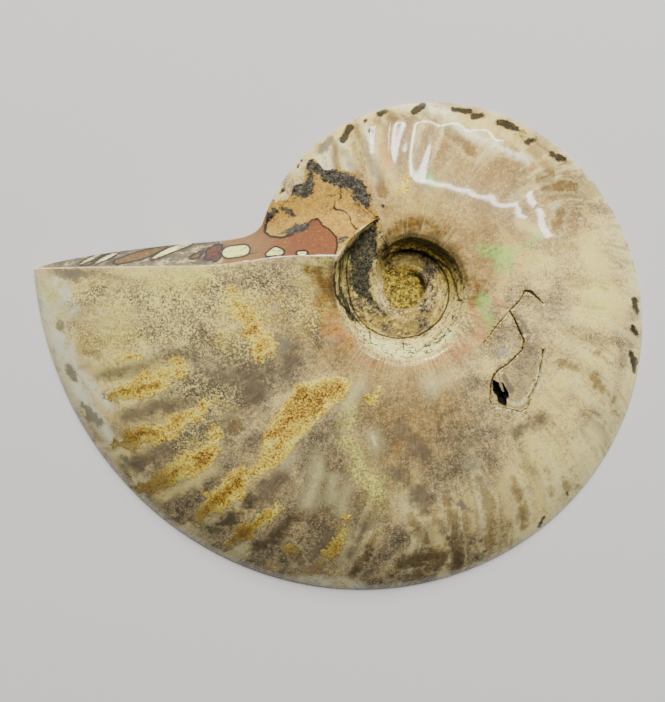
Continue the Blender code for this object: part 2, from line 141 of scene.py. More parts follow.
# Strokes, each a row of x, y and half width in mm, over and over
STROKES = {
    "ochre": (
        (-60.8, -14.3, .86, -56, -14.3, .96), (-63.7, -23, .64, -59.4, -21.9, 1.71, -55.5, -20.8, 2.57,
        -51.1, -18.9, 2.57, -46.9, -16.6, 1.71), (-62.5, -33.3, .64, -56.8, -31.5, 1.93, -52.4, -30.1, 2.14,
        -48.1, -28.4, 1.93, -43.8, -25.8, 1.5, -40.2, -23.7, .86), (-57.5, -42.4, .64, -52.8, -40.9, 1.71,
        -47.7, -38.8, 2.57, -42.9, -35.9, 2.57, -39.9, -32.7, 1.93, -39.4, -29.6, .86), (-43.7, -48.3, 1.29,
        -40.3, -45.4, 2.14, -36.6, -42.3, 2.36, -33.6, -39, 1.29), (-37.8, -53.9, .64, -33.6, -51.4, 1.29,
        -30, -48.7, 1.29, -26.6, -45.8, .86), (-29, -36.2, .64, -31.9, -38.8, .86, -34.5, -40.5, .64),
        (-36.7, -1.5, 1.29, -35.2, -3.8, 2.14, -32.7, -6.3, 2.57, -30.7, -9.2, 2.36, -29.2, -12, 2.36, -29.7,
        -13.3, 1.71), (-12.5, -49, .64, -13.3, -52.9, 1.29, -15.4, -56.7, .96), (-18.2, -59.2, .64, -16.7,
        -56.5, .86), (-24.1, -54.8, .86, -22.4, -51.9, .54), (-6.9, -23.6, 1.07, -5.3, -20.7, .64), (25.1,
        33, .86), (.6, 22.5, 1.07, -.1, 20.8, .86),),
    "dark": (
        (-25.7, 21.3, .47, -26.3, 20.7, .34), (-27.8, 19, .51), (-22.7, 26.3, .43, -21.6, 27.8, .43), (-11.4,
        34.8, .86, -12.9, 31.9, .75), (-6.9, 33.8, .75), (-8, 36.1, .43), (-5, 37.6, .64, -3.7, 38.7, .54),
        (2.3, 37.9, .64, 4.2, 39.5, .64), (10.6, 38.6, .54, 14.3, 38.2, .64), (14.9, 37.1, .54, 16.8, 37.3,
        .43), (20.2, 35.6, .64, 21.9, 35.4, .96, 24.1, 34.5, .75), (26.1, 31.4, .64, 28.1, 32.2, .64), (31.5,
        28.9, .64, 34.3, 27.9, .54), (49.2, -2.2, .75, 49.9, -4.7, .54), (49, -8, .64, 49.9, -9.4, .43),
        (48.3, -13.3, .43, 49.3, -15.4, 1.07, 49.3, -17.6, .54), (30, -48.5, .43, 29, -50.5, .64), (35.1,
        -43.6, .39), (-4.5, 17.4, .47), (-30.2, 16.1, .56), (-31.5, 14.1, .64, -30.6, 13.7, .54), (-34.3,
        11.6, .26, -33, 12.2, .26),),
    "grey": (
        (22.8, -5.3, .43, 24.7, -8.1, 1.07, 26, -9.9, .64), (-73, -7.5, .86), (-71.2, -16.7, .86, -70.1,
        -18.8, .75), (-68.9, -24.2, .86, -66.7, -26.5, 1.29, -64.5, -28.6, .86), (-60.7, -34.6, .64, -59,
        -36.2, .43), (-73.3, 3.5, .64, -70.6, 3.2, 1.07, -67, 3.1, 1.07, -64.3, 3.3, .43), (-69.2, 1.9, 1.07,
        -68.8, .8, .54), (-41.4, .6, 1.71, -38.3, -2.5, 1.29), (-34.2, -8.7, 1.29, -25.9, -11.8, 2.14),
        (-15.6, 32, .64, -17.3, 29.8, .64), (12.1, -45.5, .64, 13.9, -46.6, .64),),
    "milk": (
        (-73.3, 1.1, 2.14, -70.6, -3.6, 2.14), (-16.1, 29.8, .64, -15.6, 24.9, .64), (-13.1, 31.5, .64,
        -11.4, 25.3, .64), (-18.2, 28.5, .54, -16.9, 24.9, .54), (-8, 34, .64, -6.7, 29.1, .54, -5.9, 23,
        .43), (-2.4, 39.9, .86, 3.6, 39.3, .86, 9.9, 37.5, 1.07), (10.9, 34.3, .86, 17.2, 31.7, .86, 23,
        29.1, .86, 26.8, 27.4, .64), (-76.6, 1, 1.71, -74.8, -6, 2.57, -71.8, -14.6, 2.36, -68.9, -22.4,
        1.71, -64.5, -28.2, 1.29, -62, -32, .86), (-68.7, -17.5, .86, -62.6, -24.5, 1.07), (-22, -61.6, .64,
        -9.2, -62.8, .64),),
    "cream": (
        (-51.8, -43.9, 1.07, -46.3, -41.6, 1.29, -40.4, -38, 1.07), (20.2, -42.3, 1.07, 22.6, -38.1, 1.29),
        (-67.8, -17.9, 1.29, -63.7, -16.7, 1.07), (-63.5, -25.6, 1.29, -58.7, -27.6, 1.29), (-59.4, -34.5,
        1.29, -55.4, -34.6, .86), (-11.4, 31.9, .64, -12.5, 27.5, .75, -11, 25.7, .64), (-5.2, 33.9, .86,
        -5.7, 30, .86, -4.2, 26, .86, -1.7, 21.2, .86), (38.9, 8.3, 1.29, 41.6, 5.8, 1.5, 43.1, 3, 1.07),
        (6.5, -50.8, .86, 7.9, -54.8, 1.07), (13.8, -44.4, .64, 14.6, -50.9, .86), (20.8, -40.2, .64, 22.1,
        -47.8, .86), (28.1, -40.3, .86, 29, -45.8, .86), (-19.9, 26.6, .86, -16.7, 30.9, 1.5, -10.9, 36.9,
        .86, -.7, 39.1, .86, 9.9, 37.2, 1.29, 20.5, 33.3, 1.29, 30.1, 27.1, 1.07), (38.3, 10.4, 1.71, 40.9,
        5.8, 1.93), (44.2, -.1, 1.07, 46.4, -6.5, 1.29), (27.5, 12.4, 1.07, 24.3, 13.4, .86), (39.5, -29.8,
        .64, 41.4, -32, .64),),
    "veil": (
        (-17.9, -35.3, .86, -18.8, -39.6, 1.29, -20.2, -45.1, 1.29), (-14.8, -39.6, .86, -15.2, -43.8, 1.07),
        (-11.9, -41.7, .64, -13.1, -46, .86), (-24, -34.7, 1.07, -25.6, -37.1, .86), (-6.9, -30.1, .64, -5.9,
        -33, .64), (.1, -44.9, .86, -.1, -47.5, .86), (-11, -52.9, 1.07, -12.5, -57.3, .86), (39.5, -29.8,
        .64, 41.4, -32, .64), (-9.4, -20.1, 1.07, -12.5, -24.2, 1.07), (5.1, -20.1, 1.71, 9.3, -18.7, 1.29),),
    "taupe": (
        (-25.1, -17.8, 1.29, -23.7, -12.9, 1.71), (-63.5, -18.3, 1.07, -56.5, -16.6, 1.5, -50, -14.5, 1.29,
        -44.7, -12.9, 1.07), (-59.6, -27.4, 1.29, -53.4, -25, 1.93, -45.9, -22.7, 2.14, -40.6, -20.1, 1.71,
        -34.3, -17.4, 1.71), (-59.1, -37.6, .86, -53.2, -35.7, 1.71, -46, -32.6, 2.14, -39.6, -29.1, 1.93,
        -36, -26.6, 1.5), (-42.2, -51.2, .86, -35.7, -47.7, 1.5, -29.9, -43.1, 1.71, -26.1, -39.2, 1.5),
        (-31.5, -54.2, 1.07, -26.2, -49.9, 1.5), (-18.8, -56.3, 1.29, -15.6, -52.3, 1.29), (-11.4, -56.4,
        .86, -8.9, -50.7, 1.29, -5.6, -45.3, .86), (-42.6, -9.8, 2.14, -36.3, -13.3, 2.14, -28, -16.6, 2.14),
        (-31.2, -21.2, 2.14, -35.4, -25.3, 1.71), (-1.1, -29.5, 1.71, 4.2, -33.7, 1.71), (-2.1, -37.9, 1.07,
        3.2, -42.2, 1.71, 4.3, -46.5, 1.29), (28.5, -27.6, 1.71, 24.2, -29.6, 1.5),),
    "brown": (
        (-9.9, 34.5, .64, -8, 30, .86, -6.3, 25.6, .86, -4.3, 20.4, .86), (-12.9, 29.7, .54, -11.4, 26.3,
        .64, -9.7, 23.9, .64), (-17.6, 30.7, .64, -18.2, 29.4, .43), (-14.6, 30.8, .64, -14.2, 25.3, .64),
        (-3, 37.8, .86, -1.6, 35.2, .86), (4.6, 37.7, .64, 6.1, 36.1, .64), (14, 29.4, 1.07, 10.2, 33.4,
        .86), (26.9, 29.7, .86, 30, 26.9, .86, 31.1, 24.9, .64), (28.8, 23.6, .64, 33.6, 21.9, .64), (29.8,
        21.4, .54, 36.5, 21.8, .54), (32, 13.5, 1.5, 32.9, 15.7, 1.07), (40.5, -13.3, .64, 43.7, -15.4, .64),
        (41.5, -20.3, .64, 44.3, -23.1, .64), (31.8, -15.4, .43, 39.7, -17.5, .64, 42, -21.8, .64), (15.4,
        -39.7, .64, 17.4, -44, 1.07, 18.2, -49.3, 1.29, 18, -55, 1.29), (23.1, -39.8, .54, 24.8, -44.6, .86,
        25.7, -50.3, 1.07), (30.2, -37.8, .43, 31.5, -43.5, .64), (33.8, -39.6, .43, 35.1, -42.7, .43), (8.7,
        -43.7, .64, 10.3, -48.7, .96, 11.3, -54.2, 1.18, 11, -59.2, 1.29), (-3.3, -60.5, .86, -.4, -57.8,
        1.29, 4.3, -56.5, 1.5, 8.6, -56.6, 1.5, 5.6, -58.8, 1.07), (-11, -60.7, .64, -8.4, -56.4, .86, -5.9,
        -51.6, .64), (1.2, -47.5, .86, 2.9, -50.8, 1.07, 4.2, -53.4, .86), (-22, -57.9, .64, -24.1, -54.1,
        .86), (-35.4, -28.5, 1.93), (-68.5, -11.8, .86, -64.5, -13.9, 1.07),),
    "crack": (
        (25.2, -.5, .13, 24.1, -2.4, .11, 21.9, -4.7, .15, 23, -6.6, .13, 23.8, -8.5, .13, 24.9, -10.8, .15,
        24.5, -12.9, .13, 23, -14.3, .15, 21.5, -15.8, .15, 19.8, -16.8, .15, 18.5, -18.1, .17, 17.9, -20.2,
        .15, 17.7, -23.3, .09, 18.4, -24.8, .06), (18.4, -24.8, .04, 19.9, -24.8, .03, 22, -25.2, .02, 24.1,
        -25.8, .04, 25.6, -25.2, .04, 26.2, -23.3, .04), (26, -22.9, .09, 26.4, -22.1, .04, 27.3, -20.4, .19,
        27.7, -19.6, .04, 28.1, -18.1, .06, 28.5, -16, .15, 28.8, -15, .04, 29, -12.9, .17), (25.2, -.5, .19,
        26.4, -.7, .26, 27.9, -2, .17, 29.2, -3.2, .06), (21.9, -4.7, .04, 19.2, -7.7, .04, 16.4, -11.4,
        .03),),
    "dark_line": (
        (-.2, -41.3, .34), (-13.3, 20.1, .21, -13.3, 19.3, .19, -14.6, 18.4, .21, -14.8, 16.9, .26, -12.5,
        16.4, .24, -11.4, 15.1, .21, -11.2, 13.6, .24, -10, 12.4, .21), (-13.3, 20.5, .17, -15.2, 19.7, .13,
        -16.9, 20.2, .13), (-29.5, 13.9, .17, -29.7, 12.3, .19, -28.3, 11, .19, -25.7, 10.6, .19, -23.6,
        11.2, .15), (-29.5, 13.9, .13, -28.9, 15.4, .13, -27.2, 15.9, .11, -26.3, 18.1, .19, -24.6, 19.1,
        .19), (-4.4, 6.6, .26, -2.9, 7.5, .3, -.8, 8.2, .34, 1.8, 8.4, .36, 4.5, 7.7, .3, 7.7, 5.8, .24, 9.7,
        4, .17, 10.9, .8, .17, 11.3, -1.9, .13), (11.3, -2.4, .21, 12, -2.4, .17), (-10, -6.5, .21, -9.3, -7,
        .17), (-.2, -10.5, .11, -.2, -13.5, .11, 1.9, -13.7, .06), (.3, -12, .06, 2, -12, .06), (.9, -12.7,
        .17), (3, -12.7, .09, 4.3, -11.6, .11, 5.5, -11, .13, 7, -10.3, .15, 8.4, -9.9, .13), (2.7, -13.3,
        .06, 4.9, -12, .09, 6.5, -11.6, .06), (-7.4, -8, .13, -7.1, -11, .11, -6.5, -12.7, .06), (-10.2,
        -8.5, .09, -7.4, -9.3, .09), (-6.3, -12.2, .06, -4, -14.1, .06), (-10.8, -6.2, .13, -10.2, -8.1, .13,
        -9.8, -9.3, .06), (-14.4, 5.2, .21, -14.8, 1.5, .21, -14.4, -1.7, .21, -12.9, -3.7, .26, -11.4, -5.3,
        .26), (-13.1, 6.4, .21, -11, 9.5, .26, -8, 12.4, .3, -5.5, 14.5, .39), (10.6, -4.5, .11, 9.9, -7,
        .09), (8.9, -8.7, .09, 6.9, -11.2, .06), (-3, -10.8, .09, -.9, -11.4, .06, 2.2, -11.4, .06, 4.3, -11,
        .06), (-36.1, 6.7, .11, -33.1, 6.9, .15, -30.6, 7.5, .13),),
    "white_line": (
        (-68.6, .2, .09, -66.1, 1.6, .11, -63, 3.3, .09), (-14.4, 6, .17, -12.5, 8.4, .26, -10.4, 10.5, .24,
        -8.9, 12.6, .24, -5.5, 14.7, .13), (31.1, -10.1, .06, 31.3, -11.4, .11, 30.3, -12.2, .09, 29, -12.2,
        .06), (29.2, -3.4, .19, 29.4, -3.9, .13), (18, -24.3, .06, 19.9, -25.1, .09, 22, -25.5, .11, 24.4,
        -26.2, .15, 26.1, -25.2, .13, 26.5, -24, .11, 27.5, -21.7, .11, 28.6, -19.1, .09, 29, -16.2, .09,
        29.4, -13.3, .06), (25.6, -22.5, .09, 26.9, -20.4, .09, 27.9, -17.5, .06, 28.3, -13.9, .06), (25.1,
        -9.9, .13, 26, -9.5, .11, 26.8, -10.4, .15, 26.2, -11.2, .11), (22.4, -4.7, .09, 23.2, -4.1, .06),
        (21.1, -23.3, .21, 22.4, -23.9, .39, 24.1, -24.2, .39, 25.2, -23.1, .26), (19.8, -17.5, .17, 21.3,
        -18.7, .26, 21.9, -20, .17), (29.2, -18.3, .04, 30.5, -20.2, .04), (24.1, -4.3, .06, 24.9, -6.2, .09,
        26, -7.8, .09, 26.4, -9.3, .06), (28.3, -2, .06, 29.4, -3.2, .09, 29.4, -4.3, .06), (-33.9, 13.3,
        .13, -31.1, 15.9, .15, -29.4, 17.6, .11), (-6.9, -30.3, .26, -6.3, -32.6, .21),),
    "black": (
        (-20.1, 27.5, .64, -18.2, 25.6, 1.29, -15.6, 24, 1.39, -12.5, 23.1, 1.5, -9.7, 21.6, 1.5, -8.3, 19.4,
        1.07, -7.8, 17.7, .54), (-22.9, 20.8, 1.07, -20.7, 20.9, 1.39, -19.7, 22.9, 1.07, -19.5, 25, .86,
        -20.1, 26.8, .64), (-26.6, 11.6, .32, -24.1, 12.2, .64, -21.5, 13.3, .81, -19.2, 14.3, .32), (-25.9,
        17.6, .64, -23.9, 16.5, .64, -22.8, 14.5, .43), (-28.5, 15.8, .43, -27.4, 17, .43), (-11, 19.6, .64,
        -9.7, 18.8, .54), (-6.8, 15.5, .43, -5.5, 14.7, .47, -4.3, 14.3, .32), (-13.3, 9.9, .34, -12.5, 10.4,
        .26),),
    "chalk": (
        (-36.9, 7.7, 1.33, -33.9, 8, 1.33), (-68.6, 5.4, .17, -66.8, 6.5, .39, -64.9, 7.7, .26), (-65.3, 5.5,
        .21, -63.3, 6.7, .47, -61, 8.1, .3), (-53.1, 6.3, .26, -51, 7.7, .56, -48.1, 9.1, .6, -45.2, 10.1,
        .26), (-28.4, 6.9, .39, -27, 7.6, .9, -25.9, 7.3, .64), (-22, 7, .39, -20.8, 7, .39),),
    "lens": (
        (-68.2, 4.9, .11, -66.1, 5.8, .34, -63.8, 7, .26), (-60.8, 5.7, .39, -57.9, 6.6, .86, -54.9, 7.5,
        .86, -51.9, 8.7, .43, -50.3, 9.4, .17), (-44.7, 6.4, .3, -43.4, 7.1, .39, -42.5, 8.1, .21),),
    "claret": (
        (-41.2, 6.6, .54, -40.5, 7.8, 1.07, -39.6, 8.8, .86), (-39.4, 6.1, .54, -38.9, 7, .43),),
    "shard": (
        (20.7, -18.3, .54, 21.5, -20, .64, 22.2, -21.4, .54), (19.6, -18.7, .13, 20, -20.2, .19, 20.5, -21.4,
        .09),),
    # slate patches on the older whorl; the one along its top is painted shade under the wall
    "dusk": (
        (-6.3, -6.1, 1.07, -3.4, -8.6, 1.07), (.2, -7.8, 1.29, 4.3, -6.9, 1.29), (-3.3, 5.9, 1.07, .1, 6.7,
        1.5, 3.5, 5.8, 1.29, 6.4, 4.1, .86), (3, -6.9, 1.07, 5.1, -4.8, .86), (-5.5, -3.4, .86, -4.2, -5.5,
        .64),),
    "shell_wall": (
        (-8.9, -8.9, .86, -6.2, -11.6, 1.29, -2.1, -13.3, 1.39, 3.1, -13.3, 1.39, 7.3, -11.4, 1.07, 9.8,
        -8.7, .86), (-11, 7.6, .32, -12.3, 5.2, .32),),
    "crust": (
        (-6, 13.2, .43, -7.6, 11.2, 1.5, -8.5, 8.6, 2.14, -9.1, 5.7, 2.14, -9.3, 2.7, 1.93, -8.9, -.2, 1.5),
        (-6.8, 9.3, 1.07, -6.6, 7.1, .86), (-5.5, 14.1, .43, -9.3, 11.2, .64, -12.1, 8, .54, -13.6, 4.1, .47,
        -13.8, .4, .54, -12.5, -3.1, .64, -10.8, -6.2, .54), (-7.6, -1.5, .86, -6.8, -2.9, .64),),
    "amber": (
        (-18.1, -3.6, .64, -16, -6.3, 1.93, -14.4, -9.6, 1.93, -11.9, -12, 1.07), (-17.3, -1.8, .86, -15.6,
        -4.2, 1.07),),
    "rim": (
        (-5.5, 5.3, .86, -6.1, 1.5, 1.18, -5.5, -1.4, .86, -4, -3.3, .64), (-8, -6.5, .43, -5.1, -9.5, .54,
        -.9, -11, .54, 3.3, -10.8, .54, 7.1, -8.6, .54, 9.7, -5.5, .54, 10.9, -2.3, .43), (-1.9, -5.7, .54,
        .2, -6.5, .54),),
    "sallow": (
        (-10.6, 8.2, .32, -11.8, 4.4, .47, -11.6, .2, .54, -10.1, -3.6, .64, -8, -6.9, .64), (-12.9, 5.5,
        .17, -13.1, 1.3, .17, -12.1, -2.4, .17), (-4.2, -8.8, .43, -.8, -9.5, .64, 3.4, -9.3, .64, 6, -7.8,
        .43),),
    "rust": (
        (-36.5, -53.2, .43, -32.5, -50.5, .75, -28.7, -47.4, .54), (-42.1, -46.9, .54, -38.4, -43.8, .86,
        -35.4, -41, .64), (-12.9, -50.3, .64, -14.2, -54.5, .75), (-17.9, -2.6, .11, -17.5, -5, .11, -16.7,
        -7.7, .13, -14.8, -9.8, .13, -12.9, -11, .11), (-16.4, -1.8, .09, -15, -2.6, .11, -14, -4.2, .11),
        (-59.7, -31.9, .21, -56.6, -31, .3, -53.1, -29.7, .34, -48.7, -27.9, .3, -46.1, -26.7, .21), (-58.8,
        -21.7, .17, -54.4, -20.4, .26, -51.2, -19.3, .21), (-48.1, -38.4, .26, -45.1, -37.5, .39, -43.6,
        -36.8, .21), (25.4, -.9, .26, 23.9, -3.3, .39, 22.2, -4.7, .32), (19.2, -8.1, .21, 17.1, -11.2, .13),
        (-35.8, -2.6, .43, -34.2, -3.4, .32), (-8.2, -23.2, .26, -6.5, -21.6, .32), (-21.8, -21.6, .26,
        -19.3, -20.7, .32, -15.6, -19.9, .26),),
    "gleam": (
        (12.7, -4.3, .06, 13.7, -6.6, .09, 14.8, -9.1, .09, 15.2, -11, .02), (13.1, -4.1, .04, 14.4, -6.4,
        .06, 15.4, -8.5, .06, 16, -10.2, .02), (12.1, -6, .04, 12.9, -7.5, .09, 14.1, -10.2, .09, 14.5, -12,
        .02), (11.7, -7.2, .04, 12.7, -8.9, .09, 13.3, -11.2, .04), (9.2, -7, .04, 10.4, -9.7, .09, 11.4,
        -12.4, .02), (10.2, -5.7, .04, 11.8, -9.5, .09, 12.9, -12.2, .02), (13.2, 3.4, .02, 16.1, 2.8, .04,
        19, 1.3, .02), (13.6, 1.7, .02, 16.5, .9, .04, 19.4, -.8, .02), (9.7, -12, .06, 6.4, -14.1, .11, 2.2,
        -15.1, .11, -1.9, -14.9, .09, -5.7, -14.1, .04), (-9, -12.9, .06, -6.5, -14.3, .13, -2.8, -15.6,
        .11), (-14.2, 5.2, .06, -14.6, 2.3, .06, -14.4, -.5, .04), (-14, -2.5, .09, -13.4, -4.6, .13, -12.3,
        -5.8, .06),),
    # painted shadow: near black on the top of the umbilicus' wall and on the pit's upper right wall
    "shade": (
        (-5.3, 8.2, .64, -2, 9.7, 1.07, 1.6, 10.5, 1.5, 5.4, 10, 1.71, 8.7, 7.7, 1.29, 11, 4.9, .86, 12.4,
        1.8, .54, 12.8, -.3, .32), (1.2, 3.5, .43, 3.1, 2.9, .69, 4.3, 1.2, .54, 4.2, -.3, .21),),
    # painted shade on the flank along the umbilicus' shoulder, at its top and left
    "brink": (
        (-6, 8.6, .43, -3, 10.5, .54, 1.6, 11.5, .64, 6.2, 10.8, .64, 9.3, 8.9, .64, 11.7, 5.5, .43, 13, 1.8,
        .21), (-14.8, 4.6, .43, -15.4, .5, .43, -14.4, -3, .43),),
    "bistre": (
        (-32.2, -55.6, .86, -27.5, -52.4, 1.29, -24, -48.2, 1.07), (-48.4, -47.1, .86, -44.1, -49.9, .86),
        (-40.5, -51.3, .86, -35, -47.7, 1.29, -31.2, -44.4, 1.07), (-15.6, -55.4, 1.07, -12.5, -52.9, 1.07),
        (-64.7, -21.5, .32, -63, -23, .43, -60.3, -22.8, .32), (-2.9, -60.5, .64, -.4, -58.3, .86, 3.9,
        -56.8, 1.29, 9, -56.6, 1.29, 6.5, -59.1, .86), (-10.7, -60.3, .43, -8.9, -56.9, .64, -6.8, -53.4,
        .43), (10.2, -53.1, .64, 11.5, -58.9, .86), (16.4, -57.3, .64, 18.4, -55, .86),),
    # the nacre's brown striae round the umbilicus, darkened there as painted shade by its shoulder
    "recess": (
        (-21, 4, .64, -18.1, 3.1, 1.93, -16.6, .5, 2.14, -17.3, -2.2, 1.5), (-15.2, 4.4, .64, -15.4, .5, .86,
        -14.8, -3, .86, -12.5, -6.2, .64), (14.4, 2.6, .86, 15.2, -.3, 1.29, 14.4, -3.5, 1.07), (7.4, 11.9,
        1.07, 4.3, 14, 1.29, -.9, 13.4, 1.29, -4.3, 10.3, .86),),
    "green": (
        (4.8, 23.8, .64, 6.9, 21.6, 1.07), (28.5, 11.5, .32, 26.3, 9.4, .54, 23.1, 8.3, .64, 19.9, 7.6, 1.07,
        15.3, 8.7, .86), (21, 5.3, 1.07, 19.5, 4.3, .86), (16.5, -2.4, 1.29, 16.3, -5.6, 1.5, 17.3, -8.7,
        .86),),
    "pink": (
        (-15.6, -6.3, 1.07, -14.8, -9.2, 1.71, -12.5, -11.6, .86), (-11.5, -13.3, .64, -6.9, -15.8, .64,
        -1.1, -16.8, .64, 5.1, -16.2, .86, 9.7, -14.1, 1.29, 12.7, -11.2, 1.29), (14, -4.5, 1.07, 16, -8.7,
        1.93, 13.5, -12.9, 1.5), (19.2, -2.4, .86, 20.5, -4.5, .64), (-4, 29.5, .86, -3.4, 25.6, .86),),
    "blue": (
        (20.9, -13.5, .86, 22.3, -12.4, .64), (-15.6, -10.8, .43, -14, -11.4, .43),),
    "yellow": (
        (-76.1, .8, 1.5, -74.8, -3.1, 1.29), (-11.7, -25.7, .64, -11.1, -31.1, .86, -9.2, -35.8, 1.07, -7.1,
        -40.8, 1.29, -5.8, -45.3, .86), (-19.7, 3.6, .86, -16.6, 5.2, .64),),
    "speckle": (
        (-70.2, -2.3, 1.93, -63.9, -.3, 2.57), (-70.3, -9.7, 1.71, -64, -10.8, 2.14), (-59.6, -3.4, 3, -48.8,
        -2.5, 5.14, -36.2, -2.1, 5.57, -23.8, -2.6, 5.57, -17.7, -7.7, 3.43), (-61.9, -11.8, 3, -46.8, -8.7,
        3, -31.1, -11.8, 4.29), (-50.1, -18.1, 3.43, -36.4, -23.2, 2.14), (-40.6, -25.4, 3, -46, -31.7,
        3.43),),
}

# Patches, each the x and y of its corners in mm
PATCHES = {
    "ground": (
        (-27.2, 19, -24.4, 19.5, -23.7, 20.8, -22.9, 22.1, -21.2, 22.5, -21, 25.1, -20.3, 27.7, -18.8, 27.9,
        -16.7, 25.2, -15, 25.6, -12.2, 25.1, -9.5, 23.9, -7.6, 21.5, -7, 19.4, -6.4, 17.5, -5.3, 15.7, -5.1,
        14.7, -8, 12.6, -10.2, 10.6, -12.5, 8.4, -14.4, 6, -15.2, 2.5, -42.5, .6, -79.9, 1.1, -84.2, 10.7,
        -54.2, 13.9, -36, 16.1, -29.4, 19.3),),
    "red": (
        (-42.5, 2.6, -15.2, 5.2, -14.4, 8.6, -14.6, 10.4, -15.6, 12, -17.3, 13.1, -18.2, 14.7, -19.4, 14.5,
        -21.3, 12.8, -23.6, 11.2, -25.7, 10.6, -28.3, 11, -29.7, 12.3, -29.5, 13.9, -28.9, 16, -30.2, 18,
        -37.1, 16.1, -47.8, 11.8),),
    "flake": (
        (21.9, -4.7, 23, -6.6, 23.8, -8.5, 24.9, -10.8, 24.5, -12.9, 23, -14.3, 21.5, -15.8, 19.8, -16.8,
        18.5, -18.1, 17.7, -20.2, 17.7, -23.3, 18.4, -24.5, 22, -25, 24.1, -25.6, 26, -24.2, 26.2, -21.9,
        27.3, -20.4, 28.5, -16, 29, -12.9, 27, -10.8, 25.8, -7.6, 24.1, -4.9),),
    "slab": (
        (-22.4, -19.9, -19.3, -18.9, -15.6, -18.2, -11.1, -19.1, -11.5, -21.3, -14, -23.6, -16.9, -26.1,
        -19.4, -28.8, -21.4, -30.9, -23.5, -33.7, -25.8, -36.4, -28.2, -37.9, -30.7, -39.6, -31.9, -38.4,
        -30.7, -35.8, -29.8, -32.9, -28.9, -29.5, -26.8, -26.1, -24.7, -23),),
}

# Soft spots: (x, y, reach, strength) in mm. Tone is paler above 0, warmth browner above 0
TONE_SPOTS = (
    (-48, 2, 20, .9), (-57, -14, 9, .6), (-37, -32, 12, -.9), (-22, -50, 12, -1.6), (-45, -52, 8, -1.3),
    (-30, -60, 8, -1), (-44, -2, 9, 1.2), (-58, -2, 9, .8), (0, -32, 11, -1.4), (12, -34, 8, -.2), (20, -37,
    7, .8), (10, -34, 7, -1), (34, -34, 8, 1), (-24, -15, 6, -1.8), (-22, -9, 5, -.8), (-40, -20, 6, .7),
    (-48, -15, 5, .5), (-34, -34, 5, 1), (-17, -29, 7, -1.2), (-3, -18, 5, .8), (8, -58, 10, -1.8), (-6, -60,
    8, -1.2), (-74, -10, 6, .8), (4, -24, 9, -.8), (40, 5, 10, .9), (40, -20, 14, .6), (25, 25, 12, -.2), (0,
    20, 12, -.5), (30, -38, 12, .3), (21, -10, 4, -1.2), (8, -1, 3, .8), (5, -12, 3, .4), (-15, 35, 10, .6),
    (-35, -22, 9, -.5), (-11, -49, 8, -.6),
)
WARM_SPOTS = (
    (-20, -5, 10, .8), (-12, -16, 10, .9), (15, 5, 10, 1.2), (4, 20, 14, 1.8), (-50, -8, 18, -.4), (-30, -25,
    14, -.3), (30, 25, 14, 1.1), (-45, -35, 14, -.2), (5, -24, 12, .9), (35, 10, 8, .5), (-8, 32, 12, 1.3),
    (12, 32, 10, 1.3), (-55, 5, 10, .5), (-11, -45, 12, .4), (0, -36, 10, .6),
)

# Strip lights in a long frame overhead: the two ends in metres, and the width
STRIPS = (
    ((-0.11, 1.06, 0.56), (-0.08, 0.63, 0.98), 0.06),
    ((-0.08, 0.63, 0.98), (0.51, 0.54, 0.88), 0.03),
    ((-0.11, 1.06, 0.56), (0.42, 0.91, 0.53), 0.025),
    ((0.56, 0.61, 0.79), (0.68, 0.46, 0.90), 0.05),
    ((-0.26, 1.12, 0.52), (-0.22, 0.84, 0.81), 0.02),
)
KEY_PLACE, KEY_SIDE = (0.15, 0.85, 0.85), 0.7
MIDDLE = (0, 0, 0)              # what the lights face
FLOOR_HALF_SIDE = 3.0
FLOOR_GAP = 0.01 * MM           # between the floor and the sawn face
CAMERA_PLACE = (-15.11 * MM, -13.07 * MM)
SENSOR_WIDTH = 36.0             # in mm, as Blender wants it
VIEW_LENGTH = 150.44 * MM       # what the picture's longer side takes in at the floor

# The palette, from its palest nacre to its darkest crust: a label, and red, green and blue
COLOURS = {
    "pearl": ("Shell edge", 245, 244, 211),
    "chalk": ("Chalky fillings", 244, 242, 155),
    "ivory": ("Ivory flecks", 245, 243, 125),
    "milk": ("Milky nacre", 243, 229, 162),
    "cream": ("Cream nacre", 242, 217, 133),
    "straw": ("Straw nacre", 243, 207, 74),
    "beige": ("Beige nacre", 184, 159, 109),
    "drab": ("Drab nacre", 121, 108, 84),
    "taupe": ("Taupe nacre", 102, 88, 67),
    "umber": ("Umber nacre", 77, 64, 38),
    "tan": ("Tan nacre", 168, 129, 58),
    "rib": ("Ribs", 122, 98, 55),
    "stone": ("Stone grey", 126, 117, 97),
    "sand": ("Sand", 216, 176, 67),
    "ochre": ("Ochre", 158, 121, 58),
    "russet": ("Russet", 107, 73, 19),
    "red": ("Red matrix", 125, 73, 42),
    "maroon": ("Maroon matrix", 63, 18, 17),
    "olive": ("Olive crust", 91, 81, 39),
    "slate": ("Slate crust", 60, 62, 58),
    "peat": ("Peat lines", 19, 17, 16),
    "soot": ("Soot spots", 18, 17, 16),
    "green": ("Green glow", 147, 221, 90),
    "pink": ("Pink glow", 223, 152, 90),
    "blue": ("Blue glow", 140, 146, 153),
}


def smooth_step(low, high, value):
    share = np.clip((value - low) / (high - low), 0, 1)
    return share * share * (3 - 2 * share)


def rounded_max(a, b, width):
    """The larger of two heights, with a fillet of that width where they cross."""
    near = np.maximum(width - np.abs(a - b), 0)
    return np.maximum(a, b) + near * near / (4 * width)


def rounded_min(a, b, width):
    return -rounded_max(-a, -b, width)


def keel_radius(turn):
    decay = math.log(EXPANSION) / TURN
    swell = KEEL_SWELL * np.sin(np.clip(turn / KEEL_SWELL_TURN, 0, 1) * math.pi)
    return MOUTH_RADIUS * np.exp(swell - decay * turn)


def shoulder_radius(turn):
    return np.interp(turn, UMBILICUS_TURNS, SHOULDER_RADII)


def foot_radius(turn):
    return np.interp(turn, UMBILICUS_TURNS, FOOT_RADII)


